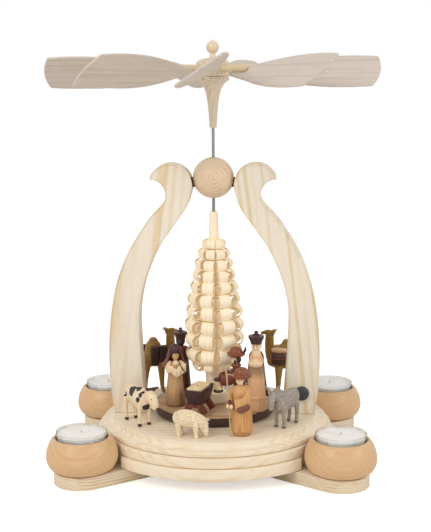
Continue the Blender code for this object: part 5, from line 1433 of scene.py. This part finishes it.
# Each leg is a flat board that leans out from under the trough to its foot.
lean_in = LEG_FOOT * 0.7
run = math.hypot(lean_in, bottom)
leg = trough(
    [(0, 0), (0.9, 0), (1, 0.0003), (1, run - 0.0003), (0.9, run), (0, run)],
    2 * LEG_HALF_THICKNESS, 2 * LEG_HALF_WIDTH, 0.0004,
)
splay = math.atan2(lean_in, bottom)
legs = [
    leg @ np.array(Matrix.Rotation(splay * side, 3, "X")).T
    + (end * LEG_OUT, side * LEG_FOOT, LEG_HALF_WIDTH * math.sin(splay))
    for end in (-1, 1) for side in (-1, 1)
]
fitted(
    surface("crib_legs", *legs, place=place, grain=(2, 0, 1), pith=(0, 0.01, 0.004)), red_padauk, "crib",
    "rotor", "crib",
)
rise = tall + 0.0012
bed = trough(
    [(0, tall - 0.0038), (0.82, tall - 0.0038), (0.985, rise - 0.0005), (0.965, rise), (0, rise + 0.0003)],
    CRIB_LENGTH - 2 * CRIB_WALL - 0.0008, CRIB_WIDTH - 2 * CRIB_WALL - 0.0008, 0.0008,
)
# Maple of the bed and child: the palest wood of the group, matt.
bed_maple = wood("matt maple of the bed", "#f1dcb8", "#e3c79b", ring=2.0, streak=0.12, gloss=0.6)
fitted(
    surface("crib_bed", bed, place=place, pith=(0, 0.008, -0.006)), bed_maple, "child", "rotor",
    "crib_child",
)
child = blob((-0.0050, 0.0004, rise + 0.0002), (0.0022, 0.0022, 0.0013), 20)
wrap = blob((0.0014, 0.0003, rise), (0.0068, 0.0032, 0.0012), 24)
fitted(surface("crib_child_form", child, wrap, place=place), bed_maple, "child", "rotor", "crib_child")
dots = twins((-0.0052, 0.0004, rise + 0.0013), 0.0010, (0.0009, 0.0006, 0.0003))
fitted(surface("crib_child_eyes", *dots, place=place), black_paint, "child", "rotor", "crib_child")


# Animals. Cow, sheep, donkey and two loaded camels, each carved from a split ring of wood and
# stained or painted, stand glued to the stage round the turntable.
WOOL_WAVES = 2900.0


class Animal:
    """One carved animal: where it stands, and how its parts, given in shares of its size, are made."""

    def __init__(self, node, slot, size, distance, bearing, heading):
        self.node, self.slot, self.size = node, slot, size
        self.place = stood(distance, bearing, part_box(node)[0].z, heading)

    def carved(self, material, forms, fine=0.00042, rough=0.0, soften=3):
        """Carve the body in one piece: its forms are fused in voxels and the skin is softened.

        Wool is raised by sine waves in three directions, each bent by the others, so that their
        peaks lie like small curls. It starts above the legs.
        """
        piece = surface(f"carved_{self.node}", *(form * self.size for form in forms))
        skin = piece.modifiers.new("carved in one", "REMESH")
        skin.mode = "VOXEL"
        skin.voxel_size = fine
        softer = piece.modifiers.new("sanded", "SMOOTH")
        softer.factor = 0.5
        softer.iterations = soften
        bpy.context.view_layer.update()
        mesh = bpy.data.meshes.new_from_object(piece.evaluated_get(bpy.context.evaluated_depsgraph_get()))
        piece.modifiers.clear()
        piece.data = mesh
        points = np.empty((len(mesh.vertices), 3), np.float32)
        mesh.vertices.foreach_get("co", points.ravel())
        timber = mesh.attributes.get("timber") or mesh.attributes.new("timber", "FLOAT_VECTOR", "POINT")
        timber.data.foreach_set("vector", points.ravel())
        points = points.astype(float)
        if rough:
            normals = np.empty(points.shape, np.float32)
            mesh.vertices.foreach_get("normal", normals.ravel())
            x, y, z = (points * WOOL_WAVES).T
            curls = np.sin(x + 2 * np.sin(y * 0.7)) * np.sin(z + 2 * np.sin(x * 0.6))
            curls += 0.6 * np.sin(y * 1.3 + 1.5 * np.sin(z))
            woolly = np.clip((points[:, 2] / self.size - 0.10) / 0.1, 0, 1)
            points += normals * (rough * curls * woolly)[:, None]
        turn = np.array(self.place)
        points = points @ turn[:3, :3].T + turn[:3, 3]
        mesh.vertices.foreach_set("co", points.astype(np.float32).ravel())
        mesh.update()
        mesh.shade_smooth()
        fitted(piece, material, self.slot, "stand", self.node)

    def part(self, name, material, *forms):
        """Set down one part, made of closed forms in shares of the animal's size."""
        piece = surface(f"{self.node}_{name}", *forms, place=self.place @ Matrix.Scale(self.size, 4))
        fitted(piece, material, self.slot, "stand", self.node)


def legs_of(front, rear, across, top, thick, knee=0.02, haunch=1.35):
    """Four legs with a slight bend at the knee and a hoof, as tubes from the belly to the ground."""
    return [form for along, bent in ((front, 1), (rear, -1)) for form in pairs([
        (along, across, top, thick * 1.25, thick * haunch),
        (along + knee * bent, across, top * 0.52, thick * 0.92, thick),
        (along, across * 1.02, top * 0.16, thick * 0.8, thick * 0.85),
        (along + 0.02, across * 1.02, 0.045, thick, thick * 1.05),
    ], 14)]


def spotted(colour, *spots, hooves=0.0, mottle=0.0, grain=500.0):
    """Paint for an animal: wear that mottles it by a share, dark patches with wavy edges about
    (x, y, z, radius) places in metres, and dark hooves up to a height."""
    def paint(tree, timber, ground):
        if mottle:
            worn = add(tree, "TexNoise", {"Scale": grain, "Detail": 2.0}, {"Vector": (timber, "Vector")})
            worn = add(tree, "MapRange", {
                "From Min": 0.32, "From Max": 0.66, "To Min": 1 - mottle, "To Max": 1 + mottle * 0.6,
            }, {"Value": (worn, "Fac")})
            ground = (add(tree, "VectorMath", {"operation": "SCALE"}, {
                0: ground, "Scale": (worn, "Result"),
            }), "Vector")
        wave = add(tree, "TexNoise", {"Scale": 260.0, "Detail": 1.0}, {"Vector": (timber, "Vector")})
        tint = {7: linear(colour)}
        for *middle, radius in spots:
            away = add(tree, "VectorMath", {"operation": "DISTANCE", 1: middle}, {0: (timber, "Vector")})
            wavy = add(
                tree, "Math", {"operation": "MULTIPLY_ADD", 1: radius * 0.9},
                {0: (wave, "Fac"), 2: (away, "Value")},
            )
            patch = add(tree, "MapRange", {
                "From Min": radius * 1.48, "From Max": radius * 1.42,
            }, {"Value": (wavy, "Value")})
            ground = (add(tree, "Mix", {"data_type": "RGBA", **tint}, {0: (patch, "Result"), 6: ground}), 2)
        if hooves:
            place = add(tree, "SeparateXYZ", links={0: (timber, "Vector")})
            foot = add(
                tree, "MapRange", {"From Min": hooves, "From Max": hooves - 0.0004},
                {"Value": (place, "Z")},
            )
            ground = (add(tree, "Mix", {"data_type": "RGBA", **tint}, {0: (foot, "Result"), 6: ground}), 2)
        return ground
    return paint


# Cow: linden painted with black brown patches, muzzle and hooves, and dark horns.
cow_linden = wood(
    "painted linden of the cow", "#f3e0c2", "#e6cea6", ring=2.2, streak=0.1, gloss=0.5,
    paint=spotted(
        "#2f2220", (-0.0010, -0.0044, 0.0275, 0.0048), (0.0060, -0.0006, 0.0302, 0.0034),
        (0.0128, -0.0052, 0.0272, 0.0028), (0.0105, -0.0062, 0.0225, 0.0024),
        (0.0160, 0.0010, 0.0150, 0.0046), (-0.0120, -0.0040, 0.0215, 0.0026),
        (-0.0080, 0.0060, 0.0235, 0.0046), (0.0065, 0.0062, 0.0250, 0.0038),
        (0.0275, 0.0040, 0.0165, 0.0020), hooves=0.0026, mottle=0.08,
    ),
)
cow = Animal("cow", "cow", 0.0314, 0.0722, -150.1, -54.4)
cow.carved(cow_linden, [
    tube([
        (-0.50, 0, 0.72, 0.07, 0.17), (-0.42, 0, 0.73, 0.12, 0.23), (-0.10, 0, 0.70, 0.17, 0.28),
        (0.22, 0, 0.69, 0.19, 0.29), (0.42, 0.01, 0.67, 0.14, 0.25),
    ], 24),
    tube([
        (0.26, 0, 0.76, 0.14, 0.23), (0.42, 0.02, 0.82, 0.13, 0.19), (0.56, 0.04, 0.87, 0.125, 0.14),
    ], 20),
    tube([
        (0.56, 0.04, 0.91, 0.13, 0.12), (0.68, 0.065, 0.80, 0.14, 0.15), (0.78, 0.075, 0.66, 0.115, 0.12),
        (0.80, 0.08, 0.60, 0.10, 0.09),
    ], 20),
    tube([
        (-0.55, 0, 0.84, 0.022, 0.022), (-0.60, 0.02, 0.62, 0.020, 0.020),
        (-0.585, 0.03, 0.40, 0.034, 0.034),
    ], 10),
    blob((-0.24, 0, 0.46), (0.11, 0.09, 0.07), 14), *legs_of(0.34, -0.37, 0.135, 0.62, 0.058),
])
horns = [
    tube([
        (0.60, 0.08, 1.02, 0.040, 0.046), (0.61, -0.02, 1.035, 0.036, 0.040),
        (0.62, -0.085, 1.05, 0.024, 0.026),
    ], 12),
    tube([
        (0.60, 0.08, 1.02, 0.040, 0.046), (0.61, 0.19, 1.03, 0.036, 0.040),
        (0.62, 0.275, 1.045, 0.024, 0.026),
    ], 12),
]
ears = [
    tube([
        (0.54, 0.05 + side * 0.10, 0.95, 0.016, 0.030), (0.51, 0.05 + side * 0.17, 0.945, 0.014, 0.032),
        (0.49, 0.05 + side * 0.21, 0.93, 0.005, 0.009),
    ], 10)
    for side in (-1, 1)
]
cow.part("horns", dark_walnut, *horns, *ears)
cow.part("eyes", black_paint, *twins((0.795, 0.07, 0.81), 0.088, (0.020, 0.016, 0.020)))

# Sheep: linden, left bare; its wool is cut with a fine gouge down to the legs, its nose is tan.
sheep_linden = wood(
    "bare linden of the sheep", "#f4e3c6", "#efdab8", ring=1.8, streak=0.08, gloss=0.62, relief=0.5,
    paint=spotted("#b08a5c", (0.0118, 0.0, 0.0068, 0.0009), mottle=0.16, grain=620.0),
)
sheep = Animal("sheep", "sheep", 0.0216, 0.0733, -101.7, -15.0)
sheep.carved(sheep_linden, [
    tube([
        (-0.54, 0, 0.65, 0.20, 0.25), (-0.44, 0, 0.66, 0.25, 0.29), (-0.20, 0, 0.67, 0.28, 0.31),
        (0.05, 0, 0.65, 0.28, 0.29), (0.22, 0, 0.63, 0.21, 0.24),
    ], 24),
    tube([(0.12, 0, 0.66, 0.22, 0.25), (0.34, 0, 0.58, 0.19, 0.23), (0.46, 0, 0.50, 0.15, 0.18)], 20),
    tube([
        (0.36, 0, 0.54, 0.17, 0.20), (0.47, 0, 0.40, 0.13, 0.155), (0.53, 0, 0.20, 0.09, 0.09),
        (0.545, 0, 0.12, 0.07, 0.07),
    ], 20),
    tube([(-0.62, 0, 0.72, 0.05, 0.05), (-0.66, 0, 0.60, 0.05, 0.05), (-0.66, 0, 0.50, 0.03, 0.03)], 10),
    *pairs([
        (0.50, 0.12, 0.62, 0.04, 0.05), (0.56, 0.20, 0.62, 0.03, 0.05), (0.59, 0.25, 0.60, 0.01, 0.02),
    ], 10),
    *legs_of(0.20, -0.48, 0.17, 0.50, 0.078, knee=0.0),
], fine=0.00036, rough=0.00042, soften=2)
sheep.part("eyes", black_paint, *twins((0.43, 0, 0.43), 0.140, (0.026, 0.012, 0.026)))

# Donkey: stained warm grey all over, with darker hooves, mane and muzzle, and tall pointed ears.
donkey_grey = wood(
    "grey stained linden of the donkey", "#a59d93", "#9a9288", ring=2.0, streak=0.12, gloss=0.5,
    paint=spotted(
        "#6a635b", (0.0135, 0.0, 0.0335, 0.0022), (0.0225, 0.0, 0.0165, 0.0016),
        hooves=0.0022, mottle=0.16, grain=420.0,
    ),
)
donkey = Animal("donkey", "donkey", 0.0302, 0.0725, -33.0, -124.3)
donkey.carved(donkey_grey, [
    tube([
        (-0.44, 0, 0.72, 0.11, 0.21), (-0.36, 0, 0.71, 0.155, 0.26), (-0.02, 0, 0.695, 0.175, 0.28),
        (0.28, 0, 0.70, 0.17, 0.27), (0.38, 0, 0.74, 0.11, 0.21),
    ], 24),
    tube([
        (0.26, 0, 0.80, 0.12, 0.20), (0.42, -0.01, 0.89, 0.095, 0.16), (0.58, -0.04, 0.96, 0.09, 0.11),
    ], 20),
    tube([
        (0.60, -0.05, 0.98, 0.09, 0.09), (0.68, -0.035, 0.85, 0.096, 0.105),
        (0.74, -0.015, 0.69, 0.086, 0.085), (0.755, -0.005, 0.64, 0.078, 0.070),
    ], 20),
    tube([
        (0.28, 0, 1.00, 0.024, 0.05), (0.42, -0.01, 1.06, 0.024, 0.05), (0.56, -0.03, 1.09, 0.02, 0.04),
    ], 10),
    tube([
        (-0.47, 0, 0.88, 0.022, 0.022), (-0.53, 0, 0.68, 0.020, 0.020), (-0.53, 0, 0.46, 0.034, 0.036),
    ], 10),
    tube([
        (0.59, 0.02, 1.02, 0.038, 0.030), (0.58, 0.07, 1.12, 0.046, 0.030),
        (0.57, 0.115, 1.215, 0.024, 0.020),
    ], 12),
    tube([
        (0.60, -0.12, 1.01, 0.038, 0.030), (0.61, -0.21, 1.10, 0.046, 0.030),
        (0.62, -0.295, 1.175, 0.024, 0.020),
    ], 12),
    *legs_of(0.30, -0.31, 0.12, 0.58, 0.058, haunch=1.7),
])
donkey.part("eye_rings", pale_maple, *twins((0.715, -0.032, 0.845), 0.088, (0.026, 0.010, 0.026), 12))
donkey.part("eyes", black_paint, *twins((0.720, -0.032, 0.843), 0.095, (0.014, 0.008, 0.014)))

# Camels: stained ochre and worn paler, flat sided, with one broad hump and a raised head. The left
# one carries panniers of dark walnut, the right one rolls and a blanket over a dark saddle.
camel_ochre = wood(
    "ochre stained linden of the camels", "#a07c3c", "#8f6c31", ring=2.4, streak=0.22, gloss=0.5,
    paint=spotted("#4a3420", mottle=0.2, grain=300.0),
)
for node, bearing, heading in (("camel_left", 136.5, 12.0), ("camel_right", 38.5, 171.0)):
    camel = Animal(node, "camel", 0.0497, 0.0775, bearing, heading)
    camel.carved(camel_ochre, [
        tube([
            (-0.24, 0, 0.65, 0.085, 0.12), (-0.18, 0, 0.64, 0.115, 0.15), (0.0, 0, 0.64, 0.13, 0.16),
            (0.16, 0, 0.63, 0.115, 0.15), (0.25, 0, 0.62, 0.075, 0.11),
        ], 24),
        tube([
            (-0.04, 0, 0.72, 0.13, 0.17), (-0.04, 0, 0.90, 0.10, 0.135), (-0.04, 0, 0.965, 0.07, 0.085),
        ], 20),
        tube([
            (0.18, 0, 0.62, 0.075, 0.13), (0.245, 0, 0.70, 0.060, 0.10), (0.275, 0, 0.86, 0.052, 0.085),
            (0.275, 0, 1.02, 0.048, 0.080), (0.27, 0, 1.10, 0.046, 0.070),
        ], 20),
        tube([
            (0.22, 0, 1.125, 0.046, 0.045), (0.30, 0, 1.145, 0.048, 0.048), (0.37, 0, 1.135, 0.038, 0.036),
            (0.41, 0, 1.125, 0.034, 0.030),
        ], 18),
        tube([
            (-0.30, 0, 0.72, 0.014, 0.014), (-0.34, 0, 0.58, 0.012, 0.012), (-0.34, 0, 0.46, 0.020, 0.022),
        ], 8),
        *pairs([
            (0.23, 0.035, 1.165, 0.022, 0.020), (0.18, 0.062, 1.175, 0.028, 0.018),
            (0.135, 0.080, 1.170, 0.008, 0.008),
        ], 8),
        *pairs([
            (0.10, 0.078, 0.56, 0.040, 0.075), (0.105, 0.078, 0.34, 0.032, 0.050),
            (0.115, 0.080, 0.12, 0.028, 0.033), (0.135, 0.080, 0.035, 0.036, 0.040),
        ], 14),
        *pairs([
            (-0.17, 0.078, 0.58, 0.042, 0.095), (-0.185, 0.078, 0.36, 0.034, 0.055),
            (-0.195, 0.080, 0.12, 0.028, 0.033), (-0.175, 0.080, 0.035, 0.036, 0.040),
        ], 14),
    ], fine=0.00055)
    camel.part("eyes", black_paint, *twins((0.325, 0, 1.155), 0.045, (0.010, 0.006, 0.010)))
    if node == "camel_left":
        pannier = trough(
            [(0, -0.17), (0.94, -0.17), (1, -0.155), (1, 0.155), (0.94, 0.17), (0, 0.17)], 0.145, 0.09,
            0.016,
        )
        camel.part(
            "panniers", dark_walnut, pannier * (1, 1, 0.94) + (-0.030, -0.145, 0.705),
            pannier * (1, 0.9, 0.80) + (0.128, -0.140, 0.745),
            *(pannier * (1, 1, 0.94) + (at, 0.145, 0.705) for at in (-0.17, -0.02)),
        )
        camel.part("lid", dark_rim, tube([
            (-0.09, -0.145, 0.868, 0.046, 0.020), (0.03, -0.145, 0.880, 0.046, 0.022),
            (0.17, -0.142, 0.890, 0.044, 0.020),
        ], 12))
    else:
        camel.part("saddle", dark_rim, tube([
            (0.09, -0.150, 0.60, 0.125, 0.030), (0.09, -0.148, 0.71, 0.130, 0.034),
            (0.09, -0.10, 0.815, 0.120, 0.030), (0.09, 0, 0.845, 0.110, 0.026),
            (0.09, 0.10, 0.815, 0.120, 0.030), (0.09, 0.148, 0.71, 0.130, 0.034),
            (0.09, 0.150, 0.60, 0.125, 0.030),
        ], 20))
        camel.part("blanket", red_padauk, *pairs([
            (-0.04, 0.165, 0.695, 0.022, 0.014), (0.09, 0.175, 0.69, 0.022, 0.014),
            (0.215, 0.165, 0.695, 0.022, 0.014),
        ], 10))
        camel.part("rolls", pink_plum, *pairs([
            (-0.02, 0.125, 0.845, 0.045, 0.045), (0.08, 0.128, 0.845, 0.052, 0.052),
            (0.18, 0.125, 0.845, 0.045, 0.045),
        ], 16))
